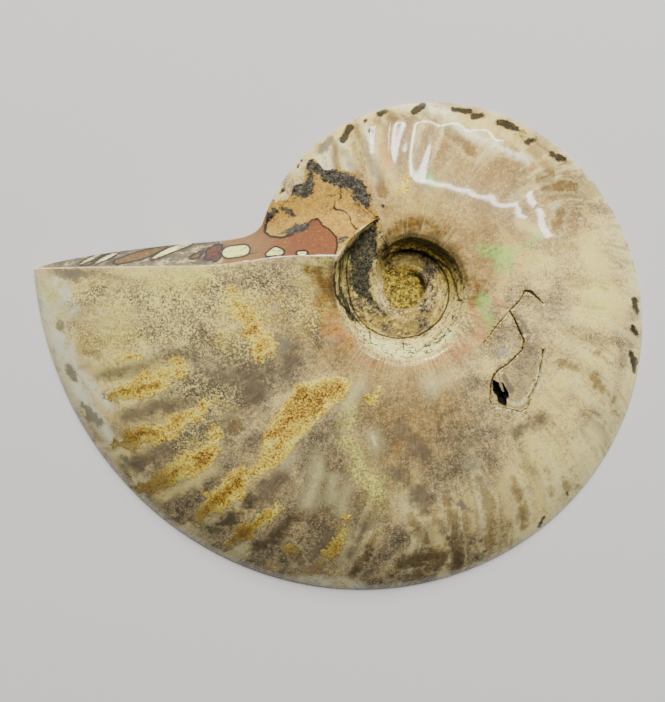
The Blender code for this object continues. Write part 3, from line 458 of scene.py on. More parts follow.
def flank_height(radius, turn):
    """Height of the flank of one whorl, falling from its thickest point to the keel."""
    keel = keel_radius(turn)
    share = radius / keel
    across = np.clip((share - THICKEST) / (1 - THICKEST), 0, 1)
    power, root = FLANK_FALL
    rise = (1 - across**power) ** (1 / root)
    beyond = np.maximum(share - 1, 0) * KEEL_DIVE
    return keel * (THICKNESS * rise - beyond)


def whorl_height(radius, turn):
    """Height of one whorl: its flank, rounded over the shoulder into the umbilical wall."""
    flank = flank_height(radius, turn)
    shoulder, foot = shoulder_radius(turn), foot_radius(turn)
    floor = np.maximum(flank_height(foot, turn + TURN), PIT_FLOOR)
    slope = (flank_height(shoulder, turn) - floor) / (shoulder - foot)
    wall = floor + (radius - foot) * slope
    full = smooth_step(*MOUTH_ROUNDING_TURNS, turn)
    rounding = MOUTH_ROUNDING + (SHOULDER_ROUNDING - MOUTH_ROUNDING) * full
    return rounded_min(flank, wall, rounding * keel_radius(turn))


def crust_drop(radius, turn):
    """How far the unpolished part of the older whorl lies below its polished flank."""
    x, y = -radius * np.cos(turn), -radius * np.sin(turn)
    beside = 1 - smooth_step(CRUST_EDGE - CRUST_STEP, CRUST_EDGE, x)
    within = 1 - smooth_step(*CRUST_REACH, radius)
    return CRUST_DEPTH * beside * within * smooth_step(*CRUST_RUN_OUT, y)


def mouth_lean(radius):
    """How far before turn 0 the mouth's edge lies at that radius, in radians."""
    inner, outer = MOUTH_OFFSETS
    offset = inner + (outer - inner) * smooth_step(*MOUTH_RADII, radius)
    return np.arcsin(offset / np.maximum(radius, MOUTH_TURN_IN))


def filling_height(radius, behind):
    """Height of the last whorl's filling, ground down in a cove behind the mouth's edge."""
    lean = mouth_lean(radius)
    gentle, steep = COVE_SLOPES
    slope = gentle + (steep - gentle) * smooth_step(*COVE_RADII, radius)
    swung = lean + behind
    distance = radius * (np.sin(np.minimum(swung, math.pi / 2)) - np.sin(lean)
                         + np.maximum(swung - math.pi / 2, 0))
    cove = whorl_height(radius, -lean) - slope * distance
    return np.minimum(cove, whorl_height(radius, -lean - behind))


def surface_height(radius, column):
    """Height at that radius, on the column at that angle from the mouth's edge, in radians."""
    turn = column - mouth_lean(radius)
    behind = TURN - column
    oldest = whorl_height(radius, turn + 2 * TURN)
    older = np.where(radius < foot_radius(turn + TURN), oldest, whorl_height(radius, turn + TURN))
    height = np.where(radius < foot_radius(turn), np.maximum(older, PIT_FLOOR), whorl_height(radius, turn))
    dropped = height - crust_drop(radius, turn)
    rounding = np.interp(radius, COVE_ROUNDING_RADII, COVE_ROUNDINGS)
    covered = rounded_max(filling_height(radius, behind), dropped, rounding)
    covered = np.where(radius < foot_radius(turn - TURN), dropped, covered)
    return np.where(behind < COVE_REACH, covered, height)


def halve(inside, outside, is_inside):
    """The radius between those two at which the test changes."""
    for _ in range(HALVINGS):
        middle = (inside + outside) / 2
        if is_inside(middle):
            inside = middle
        else:
            outside = middle
    return inside


def outline_radius(column):
    """Where the surface comes down to the sawn face."""
    radii = np.linspace(MOUTH_TURN_IN, MOUTH_RADIUS * OUTLINE_SEARCH, OUTLINE_STEPS)
    last = np.nonzero(surface_height(radii, column) > 0)[0][-1]
    return halve(radii[last], radii[last + 1], lambda radius: surface_height(radius, column) > 0)


def wall_top_radius(column):
    """Where the ground mouth cuts the top off the mouth's umbilical wall."""
    turn = column - TURN - mouth_lean(MOUTH_TURN_IN)
    foot, behind = foot_radius(turn), TURN - column
    top = halve(foot, MOUTH_TURN_IN + WALL_SEARCH,
                lambda radius: filling_height(radius, behind) >= whorl_height(radius, turn))
    return max(top, foot + THINNEST_WALL)


def feature_rows(column, flank_rows):
    """The radii that the column's points must meet, each with the rows from there inwards."""
    turn = column - mouth_lean(MOUTH_TURN_IN)
    rows = [(outline_radius(column), flank_rows)]
    if column >= TURN - WALL_REACH:
        rows += [(wall_top_radius(column), WALL_ROWS), (foot_radius(turn - TURN), LEDGE_ROWS)]
    return rows + [(shoulder_radius(turn), WALL_ROWS),
                   (foot_radius(turn), LEDGE_ROWS),
                   (shoulder_radius(turn + TURN), WALL_ROWS),
                   (foot_radius(turn + TURN), PIT_ROWS)]


def column_places(column, flank_rows):
    """Radii from the outline inwards, closer together where the surface bends."""
    rows = feature_rows(column, flank_rows)
    ends = [radius for radius, _ in rows[1:]] + [0.0]
    places = []
    for (start, count), end in zip(rows, ends):
        share = np.linspace(0, 1, FINE_STEPS) ** (1 if places else ROW_CROWDING)
        radii = start + (end - start) * share
        heights = surface_height(radii, column)
        if not places:
            heights[0] = 0.0
        steps = np.hypot(np.diff(radii), np.diff(heights))
        lie = np.arctan2(np.diff(heights), -np.diff(radii))
        steps[1:] += BEND_WEIGHT * np.abs(np.diff(lie))
        run = np.concatenate([[0], np.cumsum(steps)])
        stops = np.linspace(0, run[-1], count, endpoint=False)
        places += list(np.interp(stops, run, radii))
    return places


class Half:
    """The mesh in the making: its faces, and for every vertex a radius and a column angle."""

    def __init__(self, shell_columns, mouth_columns, flank_rows):
        self.form = bmesh.new()
        self.radius = self.form.verts.layers.float.new("radius")
        self.column = self.form.verts.layers.float.new("column")
        self.part = self.form.verts.layers.int.new("part")
        self.flank_rows = flank_rows
        shell_angles = np.linspace(0, TURN - WALL_REACH, shell_columns, endpoint=False)
        share = np.linspace(1, 0, mouth_columns) ** COLUMN_CROWDING
        mouth_angles = TURN - EDGE_STEP - (WALL_REACH - EDGE_STEP) * share
        self.shell = [self.add_column(angle) for angle in shell_angles]
        self.mouth = [self.add_column(angle) for angle in mouth_angles]
        for group in (self.shell, self.mouth):
            for left, right in zip(group, group[1:]):
                self.join(left, right)
        self.stitch()
        self.close_middle()
        self.close_under()
        self.split_near_crack()

    def add_vert(self, radius, column):
        angle = math.pi + column - mouth_lean(radius)
        vert = self.form.verts.new((radius * math.cos(angle), radius * math.sin(angle), 0))
        vert[self.radius] = radius
        vert[self.column] = column
        return vert

    def add_column(self, column):
        return [self.add_vert(radius, column) for radius in column_places(column, self.flank_rows)]

    def join(self, left, right):
        """Quads between two columns with the same rows."""
        for outer in range(len(left) - 1):
            self.form.faces.new((left[outer], right[outer], right[outer + 1], left[outer + 1]))

    def zip_up(self, left, right):
        """Triangles between two columns with different rows, taken in order of radius."""
        at_left = at_right = 0
        while at_left + at_right < len(left) + len(right) - 2:
            next_left = left[at_left + 1][self.radius] if at_left + 1 < len(left) else -1
            next_right = right[at_right + 1][self.radius] if at_right + 1 < len(right) else -1
            if next_left >= next_right:
                self.form.faces.new((left[at_left], right[at_right], left[at_left + 1]))
                at_left += 1
            else:
                self.form.faces.new((left[at_left], right[at_right], right[at_right + 1]))
                at_right += 1

    def stitch(self):
        """Joins the shell's columns to the mouth's, which have a wall and a ledge more."""
        shell, mouth = self.shell, self.mouth
        extra = self.flank_rows + WALL_ROWS + LEDGE_ROWS
        self.zip_up(shell[-1][:self.flank_rows + 1], mouth[0][:extra + 1])
        self.join(shell[-1][self.flank_rows:], mouth[0][extra:])
        shared = extra + WALL_ROWS
        self.join(mouth[-1][:shared + 1], shell[0][:shared + 1])
        self.zip_up(mouth[-1][shared:], shell[0][shared:])

    def close_middle(self):
        columns = self.shell + self.mouth
        axis = self.add_vert(0, 0)
        for left, right in zip(columns, columns[1:] + columns[:1]):
            self.form.faces.new((left[-1], right[-1], axis))

    def split_near_crack(self):
        """Smaller faces where the crack and the hollow are."""
        def is_near(vert):
            place = np.array([vert.co.xy]) / MM
            return min(stroke_distance(place, STROKES["crack"])[0], hollow_distance(place)[0]) < CRACK_REACH
        (left, front), (right, back) = CRACK_BOX
        box = [vert for vert in self.form.verts if vert[self.part] == OUTER
               and left * MM < vert.co.x < right * MM and front * MM < vert.co.y < back * MM]
        near = {vert for vert in box if is_near(vert)}
        edges = {edge for vert in near for edge in vert.link_edges}
        bmesh.ops.subdivide_edges(self.form, edges=list(edges), cuts=CRACK_CUTS, use_grid_fill=True)

    def close_under(self):
        """The sawn face: rings from the outline to the axis."""
        rim = [column[0] for column in self.shell + self.mouth]
        for vert in rim:
            vert[self.part] = RIM
        inner = rim
        for step in range(1, BASE_ROWS):
            outer, share = inner, 1 - step / BASE_ROWS
            inner = [self.add_under(vert.co.x * share, vert.co.y * share) for vert in rim]
            for at in range(len(rim)):
                self.form.faces.new((outer[at - 1], outer[at], inner[at], inner[at - 1]))
        axis = self.add_under(0, 0)
        for at in range(len(rim)):
            self.form.faces.new((inner[at - 1], inner[at], axis))

    def add_under(self, x, y):
        vert = self.form.verts.new((x, y, 0))
        vert[self.part] = UNDER
        return vert


def stroke_distance(places, strokes):
    """Distance in mm from each place to the nearest stroke, below 0 inside it."""
    nearest = np.full(len(places), FAR)
    for stroke in strokes:
        points = np.reshape(stroke, (-1, 3))
        for start, end in zip(points, points[1:] if len(points) > 1 else points):
            along = end[:2] - start[:2]
            length = max(along @ along, TINY)
            share = np.clip((places - start[:2]) @ along / length, 0, 1)
            gap = np.hypot(*(places - start[:2] - share[:, None] * along).T)
            nearest = np.minimum(nearest, gap - start[2] - share * (end[2] - start[2]))
    return nearest


def patch_distance(places, patches):
    """Distance in mm from each place to the nearest patch's outline, below 0 inside it."""
    nearest = np.full(len(places), FAR)
    for patch in patches:
        corners = np.reshape(patch, (-1, 2))
        outline = np.insert(np.vstack([corners, corners[:1]]), 2, 0, axis=1)
        gap = stroke_distance(places, (outline,))
        inside = np.zeros(len(places), bool)
        for (x0, y0), (x1, y1) in zip(corners, np.roll(corners, -1, axis=0)):
            spans = (y0 > places[:, 1]) != (y1 > places[:, 1])
            rise = y1 - y0 if y1 != y0 else TINY
            inside ^= spans & (places[:, 0] < x0 + (places[:, 1] - y0) * (x1 - x0) / rise)
        nearest = np.minimum(nearest, np.where(inside, -gap, gap))
    return nearest


def hollow_distance(places):
    """Distance in mm to the open hollow's outline, below 0 inside it."""
    offset = places - np.array(HOLLOW_PLACE)
    cos, sin = math.cos(HOLLOW_TILT), math.sin(HOLLOW_TILT)
    across = (offset[:, 0] * cos + offset[:, 1] * sin) / HOLLOW_HALF_SIZES[0]
    along = (offset[:, 1] * cos - offset[:, 0] * sin) / HOLLOW_HALF_SIZES[1]
    angle = np.arctan2(along, across)
    wobble = sum(height * np.sin(count * angle + start) for height, count, start in HOLLOW_WAVES)
    return (np.hypot(across, along) - 1 - wobble) * min(HOLLOW_HALF_SIZES)


def soft_spots(places, spots):
    """The sum of soft round spots, each a place in mm, a reach and a strength."""
    total = np.zeros(len(places))
    for x, y, reach, strength in spots:
        away = np.hypot(places[:, 0] - x, places[:, 1] - y) / reach
        total += strength * np.exp(-away * away)
    return total


def lattice_noise(places, cell, seed):
    """Smooth noise between -1 and 1 with bumps about that many mm apart."""
    grid = np.random.default_rng(seed).uniform(-1, 1, (NOISE_GRID, NOISE_GRID))
    spot = places / cell
    low = np.floor(spot).astype(int)
    share = spot - low
    share = share * share * (3 - 2 * share)
    (x0, y0), (x1, y1) = low.T % NOISE_GRID, (low.T + 1) % NOISE_GRID
    near = grid[x0, y0] * (1 - share[:, 0]) + grid[x1, y0] * share[:, 0]
    far = grid[x0, y1] * (1 - share[:, 0]) + grid[x1, y1] * share[:, 0]
    return near * (1 - share[:, 1]) + far * share[:, 1]


def rib_phase(turn, share):
    """The ribs' count along the whorl, swept towards the mouth near the keel."""
    bend = RIB_SWEEP * np.clip((share - RIB_BEND) / (1 - RIB_BEND), 0, 1) ** 2
    return (turn + bend) * RIBS_PER_TURN


def surface_fields(radius, column):
    """What the materials need to know at each vertex of the outer surface."""
    lean = mouth_lean(radius)
    angle = math.pi + column - lean
    places = np.stack([radius * np.cos(angle), radius * np.sin(angle)], 1) / MM
    turn = column - lean
    mouth_side = column > math.pi
    walled = column >= TURN - WALL_REACH - ANGLE_SLACK
    foot = np.where(walled, foot_radius(turn - TURN), foot_radius(turn))
    shoulder = np.where(walled, shoulder_radius(turn - TURN), shoulder_radius(turn))
    inner_foot = np.where(walled, foot_radius(turn), foot_radius(turn + TURN))
    share = np.clip(radius / keel_radius(turn), 0, 1.1)
    fields = {name: stroke_distance(places, STROKES[name]) for name in STROKES}
    fields.update({name: patch_distance(places, PATCHES[name]) for name in PATCHES})
    fields["ground"] = np.where(mouth_side, fields["ground"], BEYOND)
    edge = np.minimum(radius * (TURN - column) / MM, BEYOND)
    fields["edge"] = np.where(mouth_side, edge, BEYOND)
    fields.update(tone=soft_spots(places, TONE_SPOTS), warmth=soft_spots(places, WARM_SPOTS),
                  shoulder=(radius - shoulder) / MM, foot=(radius - foot) / MM,
                  pit=(radius - inner_foot) / MM, turn=turn, share=share, rib=rib_phase(turn, share))
    fields["hollow"] = np.maximum(hollow_distance(places), HOLLOW_LIP - fields["shard"])
    return places, fields


def relief(places, fields, settings):
    """Height to take off the plain surface, in metres: never below 0."""
    fade_in, full, fade_out, end = RIB_SPREAD
    share = fields["share"]
    ribbed = smooth_step(fade_in, full, share) * (1 - smooth_step(fade_out, end, share))
    ribbed = ribbed * smooth_step(0, 1.5, fields["ground"])
    drop = settings.rib_depth * ribbed * (0.5 + 0.5 * np.cos(fields["rib"]))
    rough = 0.5 + 0.3 * lattice_noise(places, 1.1, SEED) + 0.2 * lattice_noise(places, 0.45, SEED + 1)
    crust = 1 - smooth_step(-0.5, 0.3, fields["crust"])
    inside = 1 - smooth_step(-0.6, 0.1, fields["shoulder"])
    drop += settings.crust_roughness * rough * np.maximum(crust, 0.35 * inside)
    drop += FLAKE_STEP * (1 - smooth_step(-0.1, 0.1, fields["flake"]))
    drop += settings.crack_depth * (1 - smooth_step(-0.05, 0.12, fields["crack"]))
    depth = np.sqrt(np.clip(-fields["hollow"] / min(HOLLOW_HALF_SIZES), 0, 1))
    drop += HOLLOW_DEPTH * depth * (0.85 + 0.15 * lattice_noise(places, 0.8, SEED + 2))
    granular = 1 - smooth_step(-0.6, 0.3, fields["ochre"])
    drop += OCHRE_GRAIN * granular * (0.5 + 0.5 * lattice_noise(places, 0.9, SEED + 3))
    return drop


def build_half(settings):
    """The half as one mesh with its fields, in the row frame."""
    half = Half(settings.shell_columns, settings.mouth_columns, settings.flank_rows)
    verts = list(half.form.verts)
    part = np.array([vert[half.part] for vert in verts])
    outer = part != UNDER
    radius = np.array([vert[half.radius] for vert in verts])[outer]
    column = np.array([vert[half.column] for vert in verts])[outer]
    places, fields = surface_fields(radius, column)
    height = surface_height(radius, column) - relief(places, fields, settings)
    height = np.where(part[outer] == RIM, 0, np.maximum(height, LOWEST))
    for at, (x, y), z in zip(np.nonzero(outer)[0], places, height):
        verts[at].co = (x * MM, y * MM, z)
    bmesh.ops.recalc_face_normals(half.form, faces=half.form.faces)
    for face in half.form.faces:
        face.material_index = int(all(vert[half.part] for vert in face.verts))
        face.smooth = True
    mesh = bpy.data.meshes.new("polished_half")
    half.form.to_mesh(mesh)
    half.form.free()
    for name, values in fields.items():
        layer = mesh.attributes.new(name, "FLOAT", "POINT")
        everywhere = np.zeros(len(outer), np.float32)
        everywhere[outer] = values
        layer.data.foreach_set("value", everywhere)
    mesh.set_sharp_from_angle(angle=SHARP_ANGLE)
    piece = bpy.data.objects.new("polished_half", mesh)
    bpy.context.scene.collection.objects.link(piece)
    return piece


class Socket:
    """A node's output, on which sums and products of values add Math nodes."""

    def __init__(self, graph, output):
        self.graph, self.output = graph, output

    def __add__(self, other):
        return self.graph.math("ADD", self, other)

    def __radd__(self, other):
        return self.graph.math("ADD", other, self)

    def __sub__(self, other):
        return self.graph.math("SUBTRACT", self, other)

    def __rsub__(self, other):
        return self.graph.math("SUBTRACT", other, self)

    def __mul__(self, other):
        return self.graph.math("MULTIPLY", self, other)

    def __rmul__(self, other):
        return self.graph.math("MULTIPLY", other, self)

    def __truediv__(self, other):
        return self.graph.math("DIVIDE", self, other)

    def __rtruediv__(self, other):
        return self.graph.math("DIVIDE", other, self)

    def __neg__(self):
        return self.graph.math("MULTIPLY", self, -1)


class Graph:
    """The nodes of one material. A colour of the palette can be given by its name."""

    def __init__(self, name, colours=None):
        self.material = bpy.data.materials.new(name)
        self.material.use_nodes = True
        self.tree = self.material.node_tree
        self.shader = self.tree.nodes["Principled BSDF"]
        self.colours = colours

    def colour(self, name):
        return tuple(getattr(self.colours, name))

    def node(self, kind, settings=None, sockets=None, output=0):
        """A node with its settings and stops set first, then its sockets' values and links."""
        made = self.tree.nodes.new(kind)
        for name, value in (settings or {}).items():
            if name == "stops":
                self.set_stops(made.color_ramp, value)
            else:
                setattr(made, name, value)
        for key, value in (sockets or {}).items():
            self.feed(made.inputs[key], value)
        return Socket(self, made.outputs[output])

    def feed(self, target, value):
        if isinstance(value, Socket):
            self.tree.links.new(value.output, target)
        else:
            target.default_value = self.colour(value) if isinstance(value, str) else value

    def set_stops(self, ramp, stops):
        while len(ramp.elements) < len(stops):
            ramp.elements.new(1)
        for element, (name, position) in zip(ramp.elements, stops.items()):
            element.position = position
            element.color = self.colour(name)

    def set_shader(self, **values):
        for name, value in values.items():
            self.feed(self.shader.inputs[name.replace("_", " ")], value)

    def math(self, operation, *values):
        return self.node("ShaderNodeMath", {"operation": operation}, dict(enumerate(values)))

    def absolute(self, value):
        return self.math("ABSOLUTE", value)

    def field(self, name):
        return self.node("ShaderNodeAttribute", {"attribute_name": name}, output="Fac")

    def place(self):
        return self.node("ShaderNodeTexCoord", output="Object")

    def part(self, vector, axis):
        return self.node("ShaderNodeSeparateXYZ", None, {"Vector": vector}, output=axis)

    def noise(self, place, scale, detail, roughness, distortion=0.0):
        sockets = {"Vector": place, "Scale": scale, "Detail": detail,
                   "Roughness": roughness, "Distortion": distortion}
        return self.node("ShaderNodeTexNoise", None, sockets)

    def step(self, value, low, high):
        """0 where the value is at low, 1 at high, and smooth between them."""
        return self.node("ShaderNodeMapRange", {"interpolation_type": "SMOOTHSTEP"},
                         {"Value": value, "From Min": low, "From Max": high})

    def mix(self, share, first, second):
        """From the first colour to the second."""
        return self.node("ShaderNodeMix", {"data_type": "RGBA"},
                         {"Factor": share, 6: first, 7: second}, output=2)

    def ramp(self, value, **stops):
        """Through the named colours, each at its value."""
        return self.node("ShaderNodeValToRGB", {"stops": stops}, {"Fac": value})

    def vector(self, x, y):
        return self.node("ShaderNodeCombineXYZ", None, {"X": x, "Y": y})

    def bump(self, height):
        return self.node("ShaderNodeBump", None, {"Height": height, "Strength": 1.0, "Distance": MM})


def paint(red, green, blue):
    """A screen colour, each part from 0 to 255, as the linear colour of a shader."""
    return (*(((part / 255 + 0.055) / 1.055) ** 2.4 if part > 10 else part / 255 / 12.92
              for part in (red, green, blue)), 1.0)


class ShellPaint(Graph):
    """The outer surface: polished nacre, its umbilicus and the ground mouth, layer on layer."""

    def __init__(self, colours):
        super().__init__("polished_shell", colours)
        self.spot = spot = self.place()
        self.turn, self.share, self.rib, self.shoulder, self.foot, self.tone, self.warmth = map(
            self.field, ("turn", "share", "rib", "shoulder", "foot", "tone", "warmth"))
        self.clouds = self.noise(spot, 80, 5, 0.55, 0.5)
        self.mottle = self.noise(spot, 240, 5, 0.56, 0.5)
        self.fine = self.noise(spot, 1100, 4, 0.7)
        self.grit = self.noise(spot, 1900, 3, 0.75)
        self.grain = self.noise(spot, 2800, 3, 0.7)
        self.streaks = self.noise(self.vector(self.turn * 55, self.share * 3), 1, 5, 0.65)
        self.striae = self.noise(self.vector(self.turn * 48, self.share * 1.5), 1, 4, 0.65, 0.3)
        self.ribbing = self.noise(self.vector(self.rib * 0.3, self.share * 2.4), 1, 4, 0.6, 0.3)
        self.fibres = self.noise(self.vector(self.rib * 1.3, self.share * 10), 1, 4, 0.7, 0.6)
        self.wobble = self.sway(mottle=5, fine=3)

    def blend(self, **weights):
        """The named noises added up, each with its weight."""
        return sum(getattr(self, name) * weight for name, weight in weights.items())

    def sway(self, **weights):
        """The same, with each noise taken from its middle, so that the sum swings about 0."""
        return sum((getattr(self, name) - 0.5) * weight for name, weight in weights.items())

    def mark(self, name, ragged, soft):
        """1 inside the marks of that name, with an edge as ragged and soft as asked for."""
        return self.step(self.field(name) + self.wobble * ragged, soft, -soft)

    def laid(self, base, name, ragged, soft, share, colour):
        """The base with the marks of that name laid over it in the colour, by that share."""
        return self.mix(self.mark(name, ragged, soft) * share, base, colour)

    def outlined(self, base, name, ragged, colour):
        """The base with the marks of that name on it, each with a thin dark outline."""
        gap = self.field(name) + self.wobble * ragged
        base = self.mix(self.step(gap, 0.55, 0.3) * 0.95, base, "peat")
        return self.mix(self.step(gap, 0.08, -0.08), base, colour)

    def nacre(self):
        tone = self.sway(clouds=1, mottle=0.6, fine=0.3, fibres=0.15, grit=0.35, grain=0.8, streaks=0.3)
        base = self.ramp(tone + self.tone * 0.12 + 0.52,
                         umber=0.12, drab=0.35, beige=0.52, cream=0.70, ivory=0.92)
        outer = self.share + self.sway(mottle=0.5, ribbing=0.4) + self.tone * 0.08
        base = self.mix(self.step(outer, 0.92, 1.06) * 0.75, base, "milk")
        warmth = self.warmth + self.sway(mottle=2)
        base = self.mix(self.step(warmth, 0.1, 1.6) * 0.62, base, "tan")
        base = self.mix(self.step(warmth, -0.2, -1.4) * 0.6, base, "stone")
        return self.veins(self.ribs(base))

    def ribs(self, base):
        """Brown ribs with cream between them, broken up, in the outer part of the flank."""
        wave = self.math("COSINE", self.rib + self.sway(mottle=5))
        stripe = self.ribbing + wave * 0.06 + self.sway(mottle=0.25)
        outer = self.step(self.share, 0.5, 0.85) * 0.5
        base = self.mix(self.step(stripe, 0.53, 0.65) * outer, base, "rib")
        return self.mix(self.step(stripe, 0.46, 0.36) * outer, base, "milk")

    def veins(self, base):
        """Thin squiggles, broken up: where one noise passes the middle, dark; another, pale."""
        for scale, width, low, high, share, colour in ((676, 0.025, 0.55, 0.42, 0.35, "umber"),
                                                       (520, 0.03, 0.42, 0.55, 0.45, "milk")):
            middle = self.absolute(self.noise(self.spot, scale, 4, 0.7, 1.2) - 0.5)
            thin = self.step(middle, width, 0) * self.step(self.fine, low, high)
            base = self.mix(thin * share, base, colour)
        return base

    def flank(self):
        base = self.laid(self.nacre(), "cream", 1, 1.2, 0.7, "cream")
        milk = self.ramp(self.blend(mottle=0.6, grain=0.4), beige=0.36, milk=0.43, pearl=0.52)
        base = self.laid(base, "milk", 1.2, 1.2, self.mottle + 0.4, milk)
        rim = self.step(self.absolute(self.field("brown") + self.wobble * 0.7 - 0.7), 0.6, 0.1)
        base = self.mix(rim * 0.2, base, "milk")
        brown = self.mix(self.step(self.warmth, 0, 1) * 0.5, "rib", "russet")
        base = self.laid(base, "brown", 0.9, 0.9, self.blend(mottle=0.6, grit=0.5) + 0.1, brown)
        veil = (self.mottle + self.ribbing - 0.45) * (self.grit + self.fine)
        base = self.laid(base, "veil", 1.6, 2.5, veil, "milk")
        taupe = self.mix(self.step(self.fibres, 0.42, 0.62), "taupe", "drab")
        base = self.laid(base, "taupe", 0.9, 1.4, 1.1 - self.mottle * 0.6, taupe)
        base = self.laid(base, "grey", 0.8, 0.4, 0.85, "stone")
        base = self.speckled(base)
        base = self.laid(base, "bistre", 1.2, 1, 1.4 - self.blend(grit=0.8, mottle=0.5), "umber")
        straw = self.mix(0.75, "straw", "ivory")
        base = self.laid(base, "yellow", 2.5, 3, self.step(self.grit, 0.40, 0.58) * 0.9 + 0.15, straw)
        # Brown striae round the umbilicus: partly the nacre's own, partly painted shade by its shoulder
        recess = self.ramp(self.striae + self.sway(fine=0.4), umber=0.40, russet=0.53, tan=0.66, cream=0.80)
        base = self.laid(base, "recess", 1, 1.6, 0.95, recess)
        amber = self.ramp(self.blend(fine=0.4, grain=0.3, striae=0.3),
                          russet=0.40, tan=0.48, sand=0.55, cream=0.62)
        base = self.laid(base, "amber", 1.5, 0.8, 0.85, amber)
        base = self.laid(base, "ochre", 1.5, 0.5, 1, self.patch_colour("ochre"))
        base = self.laid(base, "slab", 0.5, 0.5, 1, self.patch_colour("slab"))
        base = self.laid(base, "rust", 0.8, 0.8, 1 - self.grit, "russet")
        # Painted shade in umber on the flank along the umbilicus' shoulder
        base = self.laid(self.glow(base), "brink", 0.4, 1.8, 0.95, "umber")
        dark = self.mix(self.step(self.fine, 0.42, 0.62) * 0.4, "soot", "umber")
        return self.laid(base, "dark", 0.4, 0.25, 0.93, dark)

    def speckled(self, base):
        """A grey zone of pale and dark grains that show through the nacre."""
        zone = self.math("MAXIMUM", self.mark("speckle", 1.5, 3), self.mark("yellow", 2.5, 2) * 0.5)
        squiggles = self.noise(self.spot, 900, 5, 0.75, 1.2)
        value = self.blend(grit=0.45, grain=0.4) + squiggles * 0.15 + self.sway(mottle=0.15)
        grains = self.ramp(value + self.tone * 0.01,
                           umber=0.40, taupe=0.46, stone=0.505, cream=0.54, ivory=0.59)
        warm = self.mix(self.step(self.clouds, 0.42, 0.58) * 0.3, grains, "straw")
        return self.mix(zone * self.step(self.mottle, 0.30, 0.48) * 0.85, base, warm)

    def patch_colour(self, name):
        """The granular patches: russet at heart, straw and pale at their edges, with dark flecks."""
        depth = self.step(self.field(name) + self.wobble, 0.3, -3)
        value = self.sway(fibres=0.5, grain=1.2, grit=1.2, mottle=0.6) - depth * 0.16 + 0.73
        base = self.ramp(value, russet=0.30, ochre=0.47, sand=0.60, straw=0.74, ivory=0.86)
        base = self.mix(self.step(self.share, 0.80, 0.92) * 0.8, base, "rib")
        flecks = self.step(self.blend(fibres=0.5, grit=0.5), 0.43, 0.37)
        return self.mix(flecks * 0.7, base, "umber")

    def glow(self, base):
        """The shell's play of colour, in streaks across its growth."""
        streaked = self.step(self.blend(striae=0.6, streaks=0.4) + self.sway(fine=0.4), 0.42, 0.54)
        for name, strength in (("green", 0.65), ("pink", 0.7), ("blue", 0.5)):
            base = self.laid(base, name, 1.2, 1.2, (streaked * 0.9 + 0.1) * strength, name)
        gleam = self.step(self.blend(grit=0.5, fine=0.5), 0.42, 0.52) * 0.8
        base = self.laid(base, "gleam", 0.3, 0.25, gleam, "ivory")
        near = self.step(self.shoulder + self.sway(mottle=6), 8, 0.5)
        base = self.mix(self.step(self.striae, 0.50, 0.62) * near * 0.5, base, "russet")
        return self.mix(self.step(self.striae, 0.46, 0.36) * near * 0.3, base, "cream")

    def umbilicus(self):
        """Its wall, the older whorl that shows inside with its growth lines, and the pit's floor."""
        lines = self.noise(self.vector(self.foot * 1.6, self.turn * 2.5), 1, 5, 0.75, 0.3)
        across = self.noise(self.vector(self.foot * 0.2, self.turn * 26), 1, 4, 0.7)
        grit = lines * 0.3 + across * 0.1 + self.blend(fine=0.25, grit=0.35) + self.tone * 0.05
        wall = self.ramp(grit, umber=0.41, drab=0.46, cream=0.52, ivory=0.60)
        ring = self.ramp(grit, peat=0.38, umber=0.44, taupe=0.49, beige=0.54, ivory=0.61)
        ring = self.mix(self.step(self.mottle, 0.46, 0.58) * 0.3, ring, "straw")
        base = self.mix(self.step(self.foot, 0.15, -0.15), wall, ring)
        floor = self.ramp(self.blend(fine=0.3, grit=0.7), umber=0.30, olive=0.46, straw=0.66)
        base = self.mix(self.step(self.field("pit"), 0.2, -0.2), base, floor)
        base = self.laid(base, "rim", 0.8, 0.8, 0.9, self.ramp(grit, taupe=0.44, cream=0.50, milk=0.56))
        base = self.laid(base, "sallow", 0.8, 0.8, 0.9, self.ramp(grit, umber=0.43, drab=0.50, straw=0.60))
        base = self.laid(base, "shell_wall", 0.5, 0.4, 0.95, self.cracked())
        # Slate patches on the older whorl; the one along its top is painted shade under the umbilicus' wall
        base = self.laid(base, "dusk", 1, 1.8, 0.9 - self.grit * 0.6, "slate")
        # Painted shadow, near black, where the umbilicus' top wall and the pit's upper right wall lie in
        # shade
        base = self.laid(base, "shade", 0.5, 0.9, 0.9, "peat")
        base = self.mix(self.step(self.fine, 0.40, 0.34) * 0.7, base, "peat")
        # A dark line along the foot of the wall: painted shade in the crease, and dirt
        foot_shade_and_dirt = self.step(self.absolute(self.foot + self.sway(fine=0.5)), 0.25, 0.1)
        return self.mix(foot_shade_and_dirt * 0.8, base, "peat")

    def cracked(self):
        """White nacre broken by fine cracks."""
        drift = self.node("ShaderNodeTexNoise", None, {"Vector": self.spot, "Scale": 700}, output="Color")
        bent = self.node("ShaderNodeVectorMath", {"operation": "MULTIPLY_ADD"},
                         {0: drift, 1: (0.003, 0.003, 0.003), 2: self.spot})
        gap = self.node("ShaderNodeTexVoronoi", {"feature": "DISTANCE_TO_EDGE"},
                        {"Vector": bent, "Scale": 330, "Randomness": 1.0}, output="Distance")
        cracks = self.step(gap, 0.07, 0.02) * self.step(self.mottle, 0.36, 0.50)
        shell = self.ramp(self.blend(fine=0.4, grit=0.6), stone=0.38, chalk=0.46, milk=0.60)
        return self.mix(cracks * 0.9, shell, "peat")

